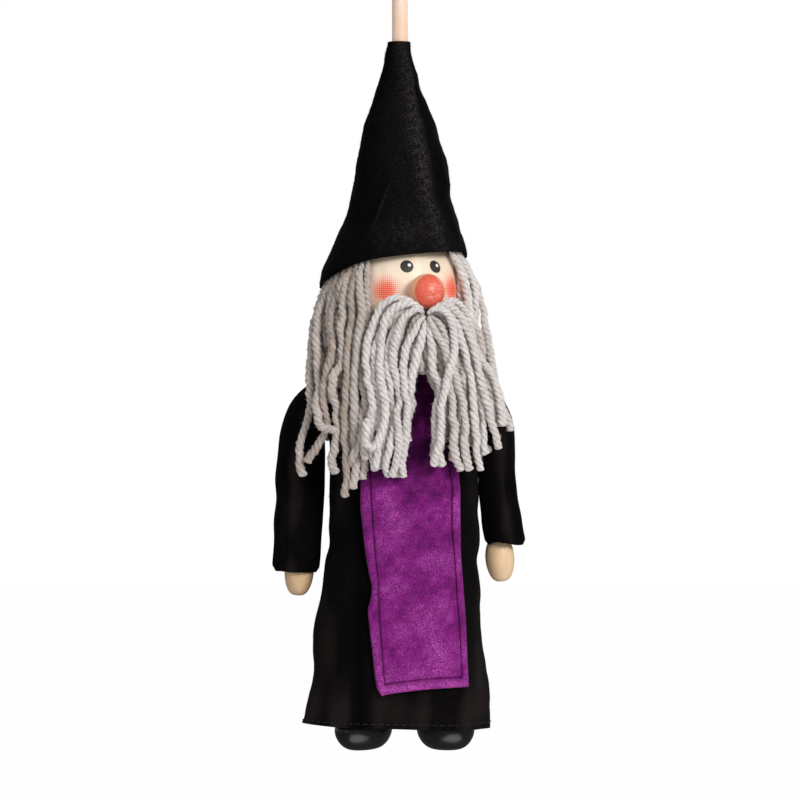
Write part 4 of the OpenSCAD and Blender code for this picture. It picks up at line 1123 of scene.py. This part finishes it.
# Strands right behind the gather, short ones, which fill the gap between the two halves of the beard
beard_middle_guides = [
    [(10.5, -33, -316), (8.5, -34, -321), (8, -34.5, -326), (8, -34.5, -330), (8.2, -34.5, -334),
     (8.6, -34, -337), (9.2, -33.5, -340), (9.6, -32.5, -343)],
    [(14.5, -33, -317), (16, -34, -322), (16.5, -34.5, -327), (16.3, -34.5, -331), (15.8, -34.5, -335),
     (15.3, -34, -338), (14.6, -33.5, -341), (14.2, -32.5, -344)],
]
# Single strands in front, laid where the photo shows them
placed_hair_left = [
    [(-36, 0, -290), (-38, -3, -300), (-39.6, -6, -309), (-41.5, -9, -317), (-42.8, -12, -326),
     (-43.8, -15, -334), (-45, -17, -342), (-45.2, -18, -350), (-45, -19, -358), (-46, -20, -366),
     (-47.5, -20.5, -373), (-48.9, -21, -380), (-48.7, -20.5, -388), (-48.2, -20, -395)],
    [(-34, -8, -289), (-36.3, -12, -300), (-38.3, -15, -309), (-39.6, -17, -317), (-40.3, -19, -325),
     (-41, -20, -333), (-41.3, -22, -342), (-41.2, -24, -351), (-42.4, -26, -360), (-41, -28.5, -366.5),
     (-38, -30.5, -370.5), (-33.5, -31, -371.5), (-31, -31, -373)],
    [(-27.5, -16, -288), (-27.4, -20, -299), (-29.5, -22, -307), (-32.3, -23, -315), (-33, -24, -322),
     (-32.4, -25, -329), (-33.6, -25.5, -336), (-35.6, -26, -344), (-37.1, -26.5, -353),
     (-37.4, -27, -361), (-36.2, -27, -369), (-38.8, -26, -376), (-42.5, -25, -382), (-45.8, -24, -388)],
    [(-24.5, -18, -288), (-25.2, -22, -298), (-26.8, -24, -307), (-28.3, -26, -315), (-28.9, -27, -323),
     (-28.2, -27.5, -332), (-29, -28, -340), (-31.8, -28.5, -346), (-32.4, -28.5, -352),
     (-31.5, -28.5, -359), (-30.6, -28.5, -367), (-31.4, -28.5, -376), (-34, -27.5, -382),
     (-34.2, -26.5, -388), (-32, -26, -393.5)],
    [(-18, -23, -287), (-21.5, -26, -295), (-23.2, -28, -301.5), (-22.9, -29.5, -310), (-23.5, -30, -318),
     (-25.2, -30.5, -326), (-25.2, -30.5, -335), (-25, -30.5, -344.5), (-26.9, -30.5, -354),
     (-27.8, -30.5, -363), (-26.9, -30.5, -372.6), (-25.9, -30, -382), (-25.6, -29, -390),
     (-26, -28.5, -398), (-26.7, -28, -405)],
    [(-19.2, -24, -287), (-20.4, -28, -295.3), (-19.8, -29.5, -302), (-18.6, -30.5, -309),
     (-18, -31, -316), (-19.2, -31.5, -324), (-20.6, -31.5, -333), (-21.6, -31.5, -342),
     (-22.3, -31.5, -351), (-22.5, -31.5, -360), (-21.9, -31.5, -369.5), (-22.5, -31, -378),
     (-22.4, -30.5, -386), (-22.9, -30, -393), (-24, -29, -401)],
    [(-16.2, -26, -288), (-16.7, -29, -297), (-16.9, -30.5, -305), (-16.8, -31, -313), (-17.8, -31, -322),
     (-19.8, -30.5, -332), (-20.3, -30.5, -342), (-18.6, -31, -350), (-16.4, -31.5, -358),
     (-15.5, -31.5, -368), (-15.8, -31, -378), (-17.4, -30, -388), (-18.3, -29, -396)],
    [(-32.5, -4, -289), (-34, -8, -299), (-36, -11, -309), (-37, -13, -316), (-37, -15, -324),
     (-36.4, -16, -331)],
    [(-30.5, -12, -289), (-32, -16, -299), (-34, -19, -308), (-34.6, -20, -316), (-33.6, -21, -324),
     (-31.5, -22, -333), (-30.5, -23, -342), (-31, -23.5, -352)],
    [(-22, -21, -288), (-21.6, -25, -297), (-21.2, -27.5, -307), (-21, -28.5, -317), (-22, -29, -327),
     (-22.6, -29, -337), (-23.6, -29, -349), (-24.6, -28.5, -361), (-24.4, -28.5, -373),
     (-24, -28, -385)],
]
placed_hair_right = [
    [(27.5, -8, -282), (30, -7, -292), (30.9, -7, -303), (31, -9, -312), (32.6, -12, -322),
     (34.6, -16, -332), (37.6, -19, -342), (40.6, -21, -352), (43, -21.5, -362)],
    [(26, -14, -282), (30.4, -12.5, -292), (32.7, -12.5, -303), (33.6, -15, -312), (35.2, -18, -321),
     (36, -21, -330), (39.6, -23, -340), (44, -24, -350), (46.6, -24, -360), (48.6, -23.4, -370)],
    [(32, -4, -283), (35, -5, -294), (38.6, -8, -305), (41.4, -11, -314), (42.6, -13.6, -323),
     (43.2, -16.4, -332), (45.6, -18.6, -342), (48.2, -19.8, -350), (50.4, -20, -358),
     (52.8, -19.6, -366), (54.4, -19, -372.6)],
    [(29.6, -9, -282), (33.8, -8, -293), (36, -9, -303), (36, -10, -311), (35.6, -12, -320),
     (36, -16, -331), (42, -19, -341), (46, -21, -350), (49.4, -21.6, -360), (51.6, -21.4, -370)],
]
# The second of these loops back up at its end
placed_beard_left = [
    [(10.5, -37, -311), (4.5, -38.5, -307.6), (-2, -38.5, -306.8), (-6.8, -37.8, -308.6),
     (-10.4, -37, -312.4), (-13.3, -36.4, -319), (-15.6, -36, -326.4), (-16.7, -36, -333),
     (-16.2, -36.2, -340), (-15.2, -36.6, -347), (-13.2, -37, -354.5), (-12.6, -37, -360),
     (-13.4, -36, -366), (-14.4, -34, -374), (-14, -33, -383), (-13, -32, -392)],
    [(11, -38, -312.4), (7, -39.5, -309.8), (2.5, -40, -309.6), (-2.6, -39.8, -312), (-6.8, -39, -316.4),
     (-8.8, -38.5, -322.6), (-9.7, -38.2, -330), (-10, -38.3, -338), (-9.4, -38.8, -346),
     (-7.5, -39.6, -353.5), (-6.3, -40, -360), (-6.9, -40.5, -367), (-8.8, -41, -373.3),
     (-12, -41.2, -379.5), (-15, -41, -380.6), (-17.3, -40.6, -376.6), (-17, -40, -370.5),
     (-15.6, -39, -366)],
    [(11.3, -38.5, -314), (9, -40, -312.6), (5.4, -40.5, -313.6), (1.2, -40.2, -317.6),
     (-1.8, -39.6, -324), (-3, -39.2, -332), (-3.1, -39.2, -341), (-1.9, -39.2, -349.5),
     (-0.7, -39, -357), (-1.2, -38.6, -364), (-0.2, -38, -371), (-0.2, -37, -379), (-1.4, -35.5, -388),
     (-3.8, -34.5, -395)],
    [(11.8, -39, -316), (9.6, -40.5, -318.6), (6.4, -40.5, -324.4), (3.3, -40, -331), (2.1, -39.6, -338),
     (2, -39.4, -346), (2.6, -39.2, -354), (3.8, -39, -360), (3.1, -38.5, -367), (2.4, -37.5, -375),
     (1, -36, -383), (0.8, -34.5, -390), (2, -33.5, -395)],
    [(12.3, -38.5, -318), (11.2, -40, -324), (9.6, -40, -330.5), (8, -39.6, -336), (6.3, -39.2, -342),
     (5, -38.8, -348), (4.4, -38, -354), (3.2, -37, -362), (3.5, -36, -371)],
    [(8, -37, -314), (3, -38, -316), (-2.5, -37.5, -323), (-5.8, -37, -332), (-6.4, -36.8, -342),
     (-4.6, -36.8, -352), (-3.6, -36.6, -362), (-4, -36.4, -372), (-6.2, -36, -382), (-6.8, -35, -389),
     (-5.2, -34, -395)],
    [(6, -36, -312), (-2, -36.4, -315), (-7.6, -35.6, -322), (-11.6, -35, -331), (-13, -35, -341),
     (-12, -35, -352), (-10, -35.4, -363), (-9.4, -35.6, -374), (-10.4, -35, -383), (-11.4, -34, -391)],
]
placed_beard_right = [
    [(13.6, -38.4, -318), (14.4, -39.4, -324), (15.5, -39.6, -330), (15.4, -39.4, -337),
     (16.7, -39.2, -343.3), (19.6, -38.6, -348.6), (20.2, -37.8, -353.5), (17.6, -37.6, -359),
     (16.7, -37.2, -367), (18, -36.4, -376), (19.8, -35.4, -384), (21, -34.6, -390)],
    [(14, -38.6, -314.6), (16.6, -39.8, -312.4), (20.8, -39.2, -312.8), (25, -38, -316.6),
     (27.1, -37.4, -322.8), (26.9, -37.6, -329.6), (25.6, -38.6, -337), (23.8, -39.8, -344.6),
     (21.9, -40.8, -351), (20.1, -41, -358.4), (20, -40.4, -367.6), (19.2, -39, -377),
     (18.1, -37.6, -383.4), (17.2, -36.6, -389.6)],
    [(14, -39, -316.4), (15.6, -40.4, -319.6), (18.4, -40.2, -325.6), (21.9, -39.2, -330.4),
     (24.4, -38, -339), (26.8, -37.6, -346), (29, -37.4, -352), (31.2, -37, -358.3), (31.9, -36.6, -365),
     (32.4, -36, -371), (31.9, -35.4, -378), (32.6, -34.4, -385), (34.4, -33.4, -392)],
    [(14.2, -38, -314), (18.6, -38.4, -311.6), (24, -37.4, -315.4), (28.8, -36, -323.4),
     (31.2, -35.4, -331), (32.4, -35, -339.4), (33.9, -34.8, -347), (35.6, -34.6, -355),
     (36.8, -34.4, -362), (37.9, -34, -369), (38.1, -33.4, -376), (37.6, -32.4, -384),
     (38.6, -31.4, -392)],
    [(14.6, -36.6, -312.4), (18.6, -36.8, -309.6), (23.8, -35.4, -310.4), (29, -33, -315.4),
     (32.4, -32, -322), (34.9, -31.6, -329), (36.8, -31.4, -337), (38.7, -31.2, -344.5),
     (40.4, -31, -351), (42.8, -30.6, -358.4), (43.9, -30, -366), (46, -29, -373.4), (48.6, -28, -381.4)],
    [(15, -35.4, -311.4), (20, -34.8, -307.8), (26, -32.6, -307.6), (31.2, -29.6, -312.4),
     (33.8, -28, -319.6), (35.6, -27.6, -327), (38, -27.6, -334.4), (41.4, -27.6, -341),
     (45.6, -27.4, -347), (48, -27, -354), (49, -26.4, -362), (49.6, -25.6, -370)],
    [(14.4, -36.6, -316), (18, -36.6, -318), (22.2, -36, -326), (24.2, -35.8, -336), (24.9, -36.4, -346),
     (25.2, -37.4, -354), (26.2, -37.6, -359), (25.7, -37.2, -365), (26.8, -36.6, -371),
     (26.3, -35.8, -379), (28, -34.6, -386), (30, -33.6, -392)],
    [(14.8, -35, -313), (22, -34, -311.4), (29, -31, -316), (33, -29.6, -324), (35.4, -29.2, -334),
     (37.4, -29, -345), (39.4, -29, -356), (40.8, -28.8, -367), (41.2, -28.4, -376), (42, -27.6, -384)],
]


def back_guides():
    """Guides for the back hair: each follows the head down from its own bearing, and then hangs while it
    draws in a little towards the middle of the back. The outer ones are a fifth shorter, so that none
    hangs in the gap beside the robe."""
    found = []
    for b in (98, 115, 136, 158, 180, 202, 224, 245, 262):
        drops = np.array([-25, -10, 6, 22, 40, 56, 72, 87]) * (1 - 0.2 * ease((abs(b - 180) - 38) / 30))
        gather = ease((drops - 12) / 38)
        bearing = np.radians(180 + (b - 180) * (1 - 0.15 * gather))
        reach = egg_r(np.maximum(z_head - drops, z_head)) + 2.4 + 2.0 * ease((drops - 10) / 40)
        found.append(np.stack([reach * 1.04 * np.sin(bearing), -reach * np.cos(bearing), z_head - drops], -1))
    return found


def strands_between(guides, count, depth, seed, drop=0.0, stray=0.06, uneven=4.0):
    """Layer of strands mixed from guides, at even shares across them that drift a little on the way down.
    A layer lies a depth behind the guides, or nearer the rod, and a drop below their arch."""
    rng = np.random.default_rng(seed)
    guides = np.asarray(guides, float)
    knots = guides.shape[1]
    t = np.linspace(0, 1, knots)
    start = (np.arange(count) + rng.uniform(0.2, 0.8, count)) / count
    share = np.clip(start[:, None] + rng.normal(0, stray, (count, 1)) * t, 0, 1)
    rows = np.stack([through(guides[:, k], share[:, k]) for k in range(knots)], 1)
    rows[..., 2] += t**4 * rng.normal(0, uneven, (count, 1)).clip(-1.8 * uneven, 1.1 * uneven)
    rows[..., 2] -= drop * np.sin(np.pi * np.clip(t * 1.8, 0, 1))
    return rows - unit(rows * [0.6, 1, 0]) * depth


def even_points(rows, count, cut=1.0):
    """Each strand's smooth curve, cut off at a share of its knots, with points at even distances along it."""
    found = []
    for knots in rows:
        line = through(knots, np.linspace(0, cut, 400))
        arc = arc_of(line)
        found.append(points_at(line, arc, np.linspace(0, arc[-1], count)))
    return np.array(found)


def behind(guides, count, depth, seed, cut=1.0, **more):
    """Layer of strands that lies behind the ones in front, with each strand cut off at a share."""
    return even_points(strands_between(guides, count, depth, seed, **more), strand_points, cut)


def loosen(lines, size, seed):
    """Adds slow waves to each strand, which grow from nothing at its root: sums of sines of the length
    along it, in random directions that lie mostly flat."""
    rng = np.random.default_rng(seed)
    count = len(lines)
    arc = np.linalg.norm(np.diff(lines, axis=1), axis=-1).mean(1)[:, None] * np.arange(lines.shape[1])
    for low, high, part in ((45, 90, 1.0), (20, 38, 0.7), (8, 15, 0.3)):
        wave = np.sin(2 * np.pi * (arc / rng.uniform(low, high, (count, 1)) + rng.uniform(0, 1, (count, 1))))
        way = rng.normal(size=(count, 1, 3)) * [1.0, 0.8, 0.15]
        lines = lines + (ease((arc - 4) / 28) * wave)[..., None] * way * size * part
    return lines


def near_pairs(points, owner, reach):
    """Pairs of points of different strands that lie within reach of each other, found in batches."""
    batch = 400
    firsts, seconds = [], []
    for start in range(0, len(points), batch):
        part = points[start:start + batch].astype(np.float32)
        gap = part[:, None] - points[None].astype(np.float32)
        close = (gap**2).sum(-1) < reach**2
        i, j = np.nonzero(close)
        i = i + start
        keep = (i < j) & (owner[i] != owner[j])
        firsts.append(i[keep])
        seconds.append(j[keep])
    return np.concatenate(firsts), np.concatenate(seconds)


def clear_of_solids(p, room):
    """Moves points out of the head, the nose, the robe and the sleeves, and keeps them under the hat. Each
    is an oval or a rounded rectangle, and a point inside it goes straight out from its middle, or on a
    sleeve forwards. A point deep inside moves part of the way, or not at all."""
    p = p.copy()
    sleeve_middle, sleeve_half_w, sleeve_half_d = 49.5, 12.5, 11.6
    for middle, size in ((head_middle, [head_r, head_r, egg_half]), (nose_middle, [nose_r] * 3)):
        away = (p - middle) / (np.array(size) + room)
        far = np.linalg.norm(away, axis=-1, keepdims=True)
        p = np.where(far < 1, middle + (p - middle) / np.maximum(far, 0.3), p)
    down = z_board - p[..., 2]
    row = robe_row(np.maximum(down, 1.6))
    wide, deep = row[..., 2] + room + 0.3, row[..., 3] + room + 0.5
    n = robe_square
    far = ((np.abs(p[..., 0] - row[..., 1]) / wide) ** n + (np.abs(p[..., 1]) / deep) ** n) ** (1 / n)
    inside = (down > -3 - room) & (far < 1) & (far > 0.3)
    p[..., :2] = np.where(inside[..., None], p[..., :2] / np.maximum(far, 0.3)[..., None], p[..., :2])
    for side in (-1, 1):
        across = (p[..., 0] * side - sleeve_middle) / (sleeve_half_w + room)
        far = np.hypot(across, p[..., 1] / (sleeve_half_d + room))
        inside = (far < 1) & (down > 2) & (p[..., 1] < 4)
        front = -np.sqrt(np.clip(1 - across**2, 0.05, 1)) * (sleeve_half_d + room)
        p[..., 1] = np.where(inside, front, p[..., 1])
    turn = np.arctan2(p[..., 1], p[..., 0])
    middle_x, middle_y, radius = hat_ring(p[..., 2])
    away = p[..., :2] - np.stack([middle_x, middle_y], -1)
    far = np.linalg.norm(away, axis=-1)
    most = radius - hat_wall - room - 0.9
    covered = (p[..., 2] > hat_edge(turn) - 1.5) & (far > most)
    step = away / far[..., None] * (far - most)[..., None]
    p[..., :2] = np.where(covered[..., None], p[..., :2] - step, p[..., :2])
    return p


def settle(goal, give, rounds=72):
    """Pushes strands apart until they lie beside each other, each as far as it gives way. Only the shift
    from where a strand was drawn is smoothed along it, so its curves stay, and near its root a strand
    may press into its neighbours."""
    count, points = goal.shape[:2]
    # Neighbours are looked for again after some rounds, a little further off than they touch, and strands
    # press slightly into each other
    look_again, beyond = 12, 2.4
    touching = 2 * yarn_r * 0.92
    owner = np.repeat(np.arange(count), points)
    arc = np.linalg.norm(np.diff(goal, axis=1), axis=-1).mean(1)[:, None] * np.arange(points)
    free = ease((arc - 3) / 16)
    soft = (0.25 + 0.75 * free).ravel()
    shift = np.zeros_like(goal)
    for k in range(rounds):
        place = (goal + shift).reshape(-1, 3)
        if k % look_again == 0:
            a, b = near_pairs(place, owner, 2 * yarn_r + beyond)
        gap = place[a] - place[b]
        far = np.maximum(np.linalg.norm(gap, axis=1), 0.05)
        least = touching * np.minimum(soft[a], soft[b])
        # Strands give way in depth more than sideways, so they stay where the photo shows them
        push = gap * (np.clip(least - far, 0, None) / far * 0.36)[:, None] * [0.65, 1.3, 0.35]
        move = np.stack([
            np.bincount(a, push[:, i], len(place)) - np.bincount(b, push[:, i], len(place)) for i in range(3)
        ], -1).reshape(goal.shape)
        shift = shift + np.clip(move, -0.8, 0.8) * (free * give[:, None])[..., None]
        shift = clear_of_solids(goal + shift, yarn_r) - goal
        soften(shift)
        # Each strand is drawn back a little to where it was laid
        shift *= 0.992
    return goal + shift


def make_yarn(name, paths, hairs, tone_and_shade, seed):
    """Plied strands. Round each centreline the radius at angle q is r (1 - d + d |cos 1.5q|), which gives
    three plies, and the whole ring turns once in each pitch, which wavers along the strand. Each point moves
    a little in or out at random, as loose wool does. Ends are drawn in, and short fibres stand off the plies.
    A strand's tone from 0 to 1 takes its grey from pale to warm and dark; it varies at random and also
    carries painted shade."""
    rng = np.random.default_rng(seed)
    count = len(paths)
    rings, sides = 120, 18
    fibre, fibre_l = 0.1, 2.1
    share = np.linspace(0, 1, paths.shape[1])
    lengths = np.linalg.norm(np.diff(paths, axis=1), axis=-1).sum(1)
    # The last rings lie close together at the tip: distances from it in millimetres, and their size
    close = np.array([1.5, 1.0, 0.6, 0.25, 0.0])
    tip = np.array([1.06, 1.08, 1.0, 0.78, 0.45])
    even = rings - len(close)
    place = np.concatenate([
        np.linspace(0, 1, even)[None] * (1 - 2.2 / lengths)[:, None], 1 - close[None] / lengths[:, None],
    ], 1)
    rows = np.array([points_at(line, share, t) for t, line in zip(place, paths)])
    for _ in range(2):
        soften(rows)
    s = place * lengths[:, None]
    phase = rng.uniform(0, 6, (6, count, 1))
    wave = np.stack([np.sin(s / 1.9 + phase[0]), np.sin(s / 1.5 + phase[1]), 0 * s], -1)
    rows = rows + wave * 0.12
    tangent = unit(np.gradient(rows, axis=1))
    guide = np.array([0.05, 1.0, 0.02])
    first = unit(guide - tangent * (tangent @ guide)[..., None])
    second = np.cross(tangent, first)
    q = ring_angles(sides)
    lobe = 1 - yarn_groove + yarn_groove * np.abs(np.cos(1.5 * q))
    lump = 1 + 0.06 * np.sin(q[None, None] + (s / 5 + phase[2])[..., None])
    lump = lump + rng.normal(0, 0.055, (count, rings, sides))
    size = yarn_r * (1 + 0.09 * np.sin(s / 7 + phase[3]) + rng.normal(0, 0.06, (count, 1)))
    size = size * (0.55 + 0.45 * ease(s / 9)) * np.concatenate([np.ones(even), tip])
    pitch = yarn_pitch * rng.uniform(0.8, 1.15, (count, 1))
    twist = s * 2 * np.pi / pitch + 0.45 * np.sin(s / 11 + phase[4]) + phase[5]
    turn = q[None, None] - twist[..., None]
    radius = size[..., None] * lobe * lump
    points = rows[:, :, None] + radius[..., None] * (
        first[:, :, None] * np.cos(turn)[..., None] + second[:, :, None] * np.sin(turn)[..., None])
    along = np.broadcast_to((s + np.arange(count)[:, None] * 137)[..., None], radius.shape)
    uv = np.stack([np.broadcast_to(q * yarn_r, radius.shape), along], -1).reshape(-1, 2)
    groove = np.broadcast_to(np.abs(np.cos(1.5 * q)), radius.shape).ravel()
    strand = np.repeat(np.arange(count), hairs)
    i, j = rng.integers(3, rings - 7, len(strand)), rng.integers(0, sides, len(strand))
    root = points[strand, i, j]
    out = unit(root - rows[strand, i])
    fuzz, quads, tips = slivers(root - out * 0.15, out, tangent[strand, i], fibre_l, fibre, rng)
    shift = points.size // 3
    fuzz_uv = np.repeat(np.stack([q[j] * yarn_r, s[strand, i]], -1), 5, 0)
    return make_mesh(
        name, np.concatenate([points.reshape(-1, 3), fuzz]),
        [*tube_faces(count, rings, sides), quads + shift, tips + shift],
        np.concatenate([uv, fuzz_uv]),
        {"groove": np.concatenate([groove, np.full(len(fuzz), 0.8)]),
         "tone_and_shade": np.concatenate([np.repeat(tone_and_shade, rings * sides), np.repeat(tone_and_shade[strand], 5)])},
    )


def make_yarn_finish():
    """Three-ply worsted wool in light grey: soft matt plies with painted shade in the grooves between them,
    fine fibres along each ply, and a slight halo of loose fibres."""
    made, tree, shader = new_material("plied_wool_yarn", {
        "Roughness": 0.9, "Specular IOR Level": 0.2, "Sheen Weight": 0.2, "Sheen Roughness": 0.5,
    })
    # The map is in millimetres: round the strand and along it
    place = add(tree, "UVMap", uv_map="UVMap")
    fibres = grain(tree, place, (1 / 0.45, 1 / 1.0, 1), {"Detail": 3.0, "Roughness": 0.65})
    patches = grain(tree, place, (1 / 4, 1 / 9, 1))
    groove = add(tree, "Attribute", out=2, attribute_name="groove")
    tone_and_shade = add(tree, "Attribute", out=2, attribute_name="tone_and_shade")
    # The tone runs from pale to warm and dark, and also carries painted shade
    colour = add(tree, "Mix", {0: tone_and_shade, 6: paint("#F0EAE8"), 7: paint("#AD9C8E")}, out=2, data_type="RGBA")
    # Fibres cross the grooves here and there, which breaks up their lines
    crossing = add(tree, "MapRange", {0: fibres, 1: 0.3, 2: 0.7, 3: -0.35, 4: 0.45})
    ragged = add(tree, "Math", {0: groove, 1: crossing}, operation="ADD")
    # Pale patches, darker fibres, and painted shade in the grooves between the plies
    for share, other in (
        (add(tree, "MapRange", {0: patches, 1: 0.4, 2: 0.7, 4: 0.4}), "#EFEAE8"),
        (add(tree, "MapRange", {0: fibres, 1: 0.34, 2: 0.52, 3: 0.65, 4: 0.0}), "#9A8D82"),
        (add(tree, "MapRange", {0: ragged, 1: 0.0, 2: 0.9, 3: 0.42, 4: 0.0}), "#83766F"),
    ):
        colour = add(tree, "Mix", {0: share, 6: colour, 7: paint(other)}, out=2, data_type="RGBA")
    lay_on(tree, shader, colour, fibres, 0.35, 1.0)
    return made


strand_points = 60
mirror = [-1, 1, 1]
# For each piece: its tone, the CAD nodes that it stands for, the layers behind and the strands in front. The
# tone is also painted shade: the left hair is darker, and the beard and the right hair paler
families = {
    "yarn_hair_left": (0.72, ["hair_left"], [
        behind(hair_left_short_guides, 4, 0.0, 40, uneven=2),
        behind(hair_left_guides[2:], 6, 4.0, 41, cut=0.66, stray=0.1),
        behind(hair_left_guides[1:], 7, 7.4, 42, cut=0.6, stray=0.1),
        behind(np.array(hair_side_guides) * mirror, 5, 0.0, 55, uneven=1),
    ], placed_hair_left),
    "yarn_hair_right": (0.1, ["hair_right"], [
        behind(hair_right_guides, 4, 1.0, 43, stray=0.05, uneven=3),
        behind(hair_side_guides, 5, 0.0, 56, uneven=1),
    ], placed_hair_right),
    "yarn_hair_back": (0.3, ["hair_back"], [
        behind(back_guides(), 20, 0.0, 45, stray=0.02),
        behind(back_guides(), 19, 3.6, 46, cut=0.97, stray=0.02),
    ], []),
    "yarn_beard_left": (0.05, ["beard_left", "beard_knot"], [
        behind(beard_left_guides, 6, 1.6, 47, cut=0.96, stray=0.12),
        behind(beard_left_guides, 6, 5.2, 48, cut=0.9, drop=0.8),
        behind(beard_middle_guides, 4, 0.0, 53, uneven=1.0),
    ], placed_beard_left),
    "yarn_beard_right": (0.05, ["beard_right"], [
        behind(beard_right_guides, 7, 2.0, 50, cut=0.95, stray=0.12),
        behind(beard_right_guides, 7, 5.6, 51, cut=0.9, drop=0.8),
    ], placed_beard_right),
}
# Strands behind are painted darker as shade, wander more, and give way to the ones in front
darker, loose, gives_way = (0.35, 0.0), (1.4, 0.55), (1.0, 0.3)
drawn, tones, give = [], [], []
for index, (tone_and_shade, _, layers, placed) in enumerate(families.values()):
    hidden = loosen(np.concatenate(layers), loose[0], 80 + index)
    front = hidden[:0]
    if placed:
        front = loosen(even_points(placed, strand_points), loose[1], 90 + index)
    counts = [len(hidden), len(front)]
    varied = tone_and_shade + np.random.default_rng(100 + index).normal(0, 0.15, sum(counts))
    drawn.append(np.concatenate([hidden, front]))
    tones.append(np.clip(varied + np.repeat(darker, counts), 0, 1))
    give.append(np.repeat(gives_way, counts))
settled = settle(np.concatenate(drawn), np.concatenate(give))
piece_paths = np.split(settled, np.cumsum([len(lines) for lines in drawn])[:-1])
yarn_finish = make_yarn_finish()
# Loose fibres on each strand. The back has the most strands, so it gets fewer, to keep the piece small
hairs_each, hairs_back = 480, 200
for index, (name, (_, nodes, _, _)) in enumerate(families.items()):
    hairs = hairs_back if name == "yarn_hair_back" else hairs_each
    piece = make_yarn(name, piece_paths[index], hairs, tones[index], 60 + index)
    dress(piece, yarn_finish, None, nodes)
    # Its ends lie on the robe, and stay there when the head nods
    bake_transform(piece)

# Pieces carried over from the CAD model

for name, node in frame["nodes"].items():
    if node.hide_render:
        continue
    if "eye" in name or "ring" in name:
        finish = wire_finish
    elif name == "control_rod":
        finish = rod_finish
    else:
        finish = inner_finish
    node.data.materials.clear()
    node.data.materials.append(finish)

# Floor, light and camera

# Height that the camera looks at, how far off it stands, and the width that it sees there, in metres
view_middle = -357 * MM
view_far = 2.0
view_wide = 0.4


def seen_directly(tree):
    """1 where the camera sees a surface or the world, also through glass, and 0 elsewhere."""
    straight = add(tree, "LightPath", out="Is Camera Ray")
    through_glass = add(tree, "LightPath", out="Is Transmission Ray")
    return add(tree, "Math", {0: straight, 1: through_glass}, operation="MAXIMUM")


def make_stage():
    """Pale floor under the hanging puppet. It looks white to the camera and keeps a faint shadow."""
    size = 3000
    below = 60
    z = cad_low[2] / MM - below
    corners = np.array([[[-size, -size, z], [size, -size, z]], [[-size, size, z], [size, size, z]]], float)
    floor = make_surface("floor", corners)
    made, tree, shader = new_material("white_floor", {"Roughness": 0.9})
    # Darker in reflections, so that the lacquer keeps its black edges
    mirrored = add(tree, "LightPath", out="Is Glossy Ray")
    colours = {0: mirrored, 6: paint("#C8C8C8"), 7: paint("#565656")}
    tree.links.new(add(tree, "Mix", colours, out=2, data_type="RGBA"), shader.inputs["Base Color"])
    part = add(tree, "Math", {0: seen_directly(tree), 1: 0.985}, operation="MULTIPLY")
    white = add(tree, "Emission", {"Color": paint("#FFFFFF"), "Strength": 1.0})
    both = add(tree, "MixShader", {0: part, 1: shader.outputs[0], 2: white})
    tree.links.new(both, tree.nodes["Material Output"].inputs["Surface"])
    floor.data.materials.append(made)


def make_world():
    """Studio light, brighter from above, and white where the camera sees it."""
    world = bpy.data.worlds.new("studio")
    world.use_nodes = True
    tree = world.node_tree
    height = add(tree, "SeparateXYZ", {0: add(tree, "TexCoord", out=0)}, out=2)
    glow = add(tree, "MapRange", {0: height, 1: -0.6, 2: 0.6, 3: 0.28, 4: 0.52})
    strength = add(tree, "Math", {0: seen_directly(tree), 1: glow}, operation="MAXIMUM")
    tree.links.new(strength, tree.nodes["Background"].inputs["Strength"])
    tree.nodes["Background"].inputs["Color"].default_value = paint("#FFFFFF")
    bpy.context.scene.world = world


def make_lamp(name, place, size, watts, target):
    """Square soft box at a place, turned to a target."""
    lamp = bpy.data.lights.new(name, "AREA")
    lamp.size = size
    lamp.energy = watts
    obj = bpy.data.objects.new(name, lamp)
    obj.location = place
    look = np.array(target) - np.array(place)
    far = np.linalg.norm(look)
    obj.rotation_euler = (math.acos(-look[2] / far), 0, math.atan2(look[1], look[0]) - math.pi / 2)
    bpy.context.scene.collection.objects.link(obj)


make_stage()
make_world()
make_lamp("key", (0.95, -1.35, 0.3), 0.55, 19.5, (0, 0, view_middle))
make_lamp("fill", (-1.2, -1.2, 0.1), 0.9, 3.0, (0, 0, view_middle))
# Light from the table before the puppet, which the lacquered shoes mirror
make_lamp("table", (0.012, -0.085, -0.587), 0.11, 0.085, (0.012, -0.085, 0.0))
make_lamp("back", (0.8, 1.6, 0.4), 0.9, 7.0, (0, 0, view_middle))

camera = bpy.data.cameras.new("camera")
camera.sensor_width = 36
camera.lens = camera.sensor_width * view_far / view_wide
camera_obj = bpy.data.objects.new("camera", camera)
camera_obj.location = (0, -view_far, view_middle)
camera_obj.rotation_euler = (math.pi / 2, 0, 0)
bpy.context.scene.collection.objects.link(camera_obj)
bpy.context.scene.camera = camera_obj
bpy.context.scene.view_settings.view_transform = "Standard"
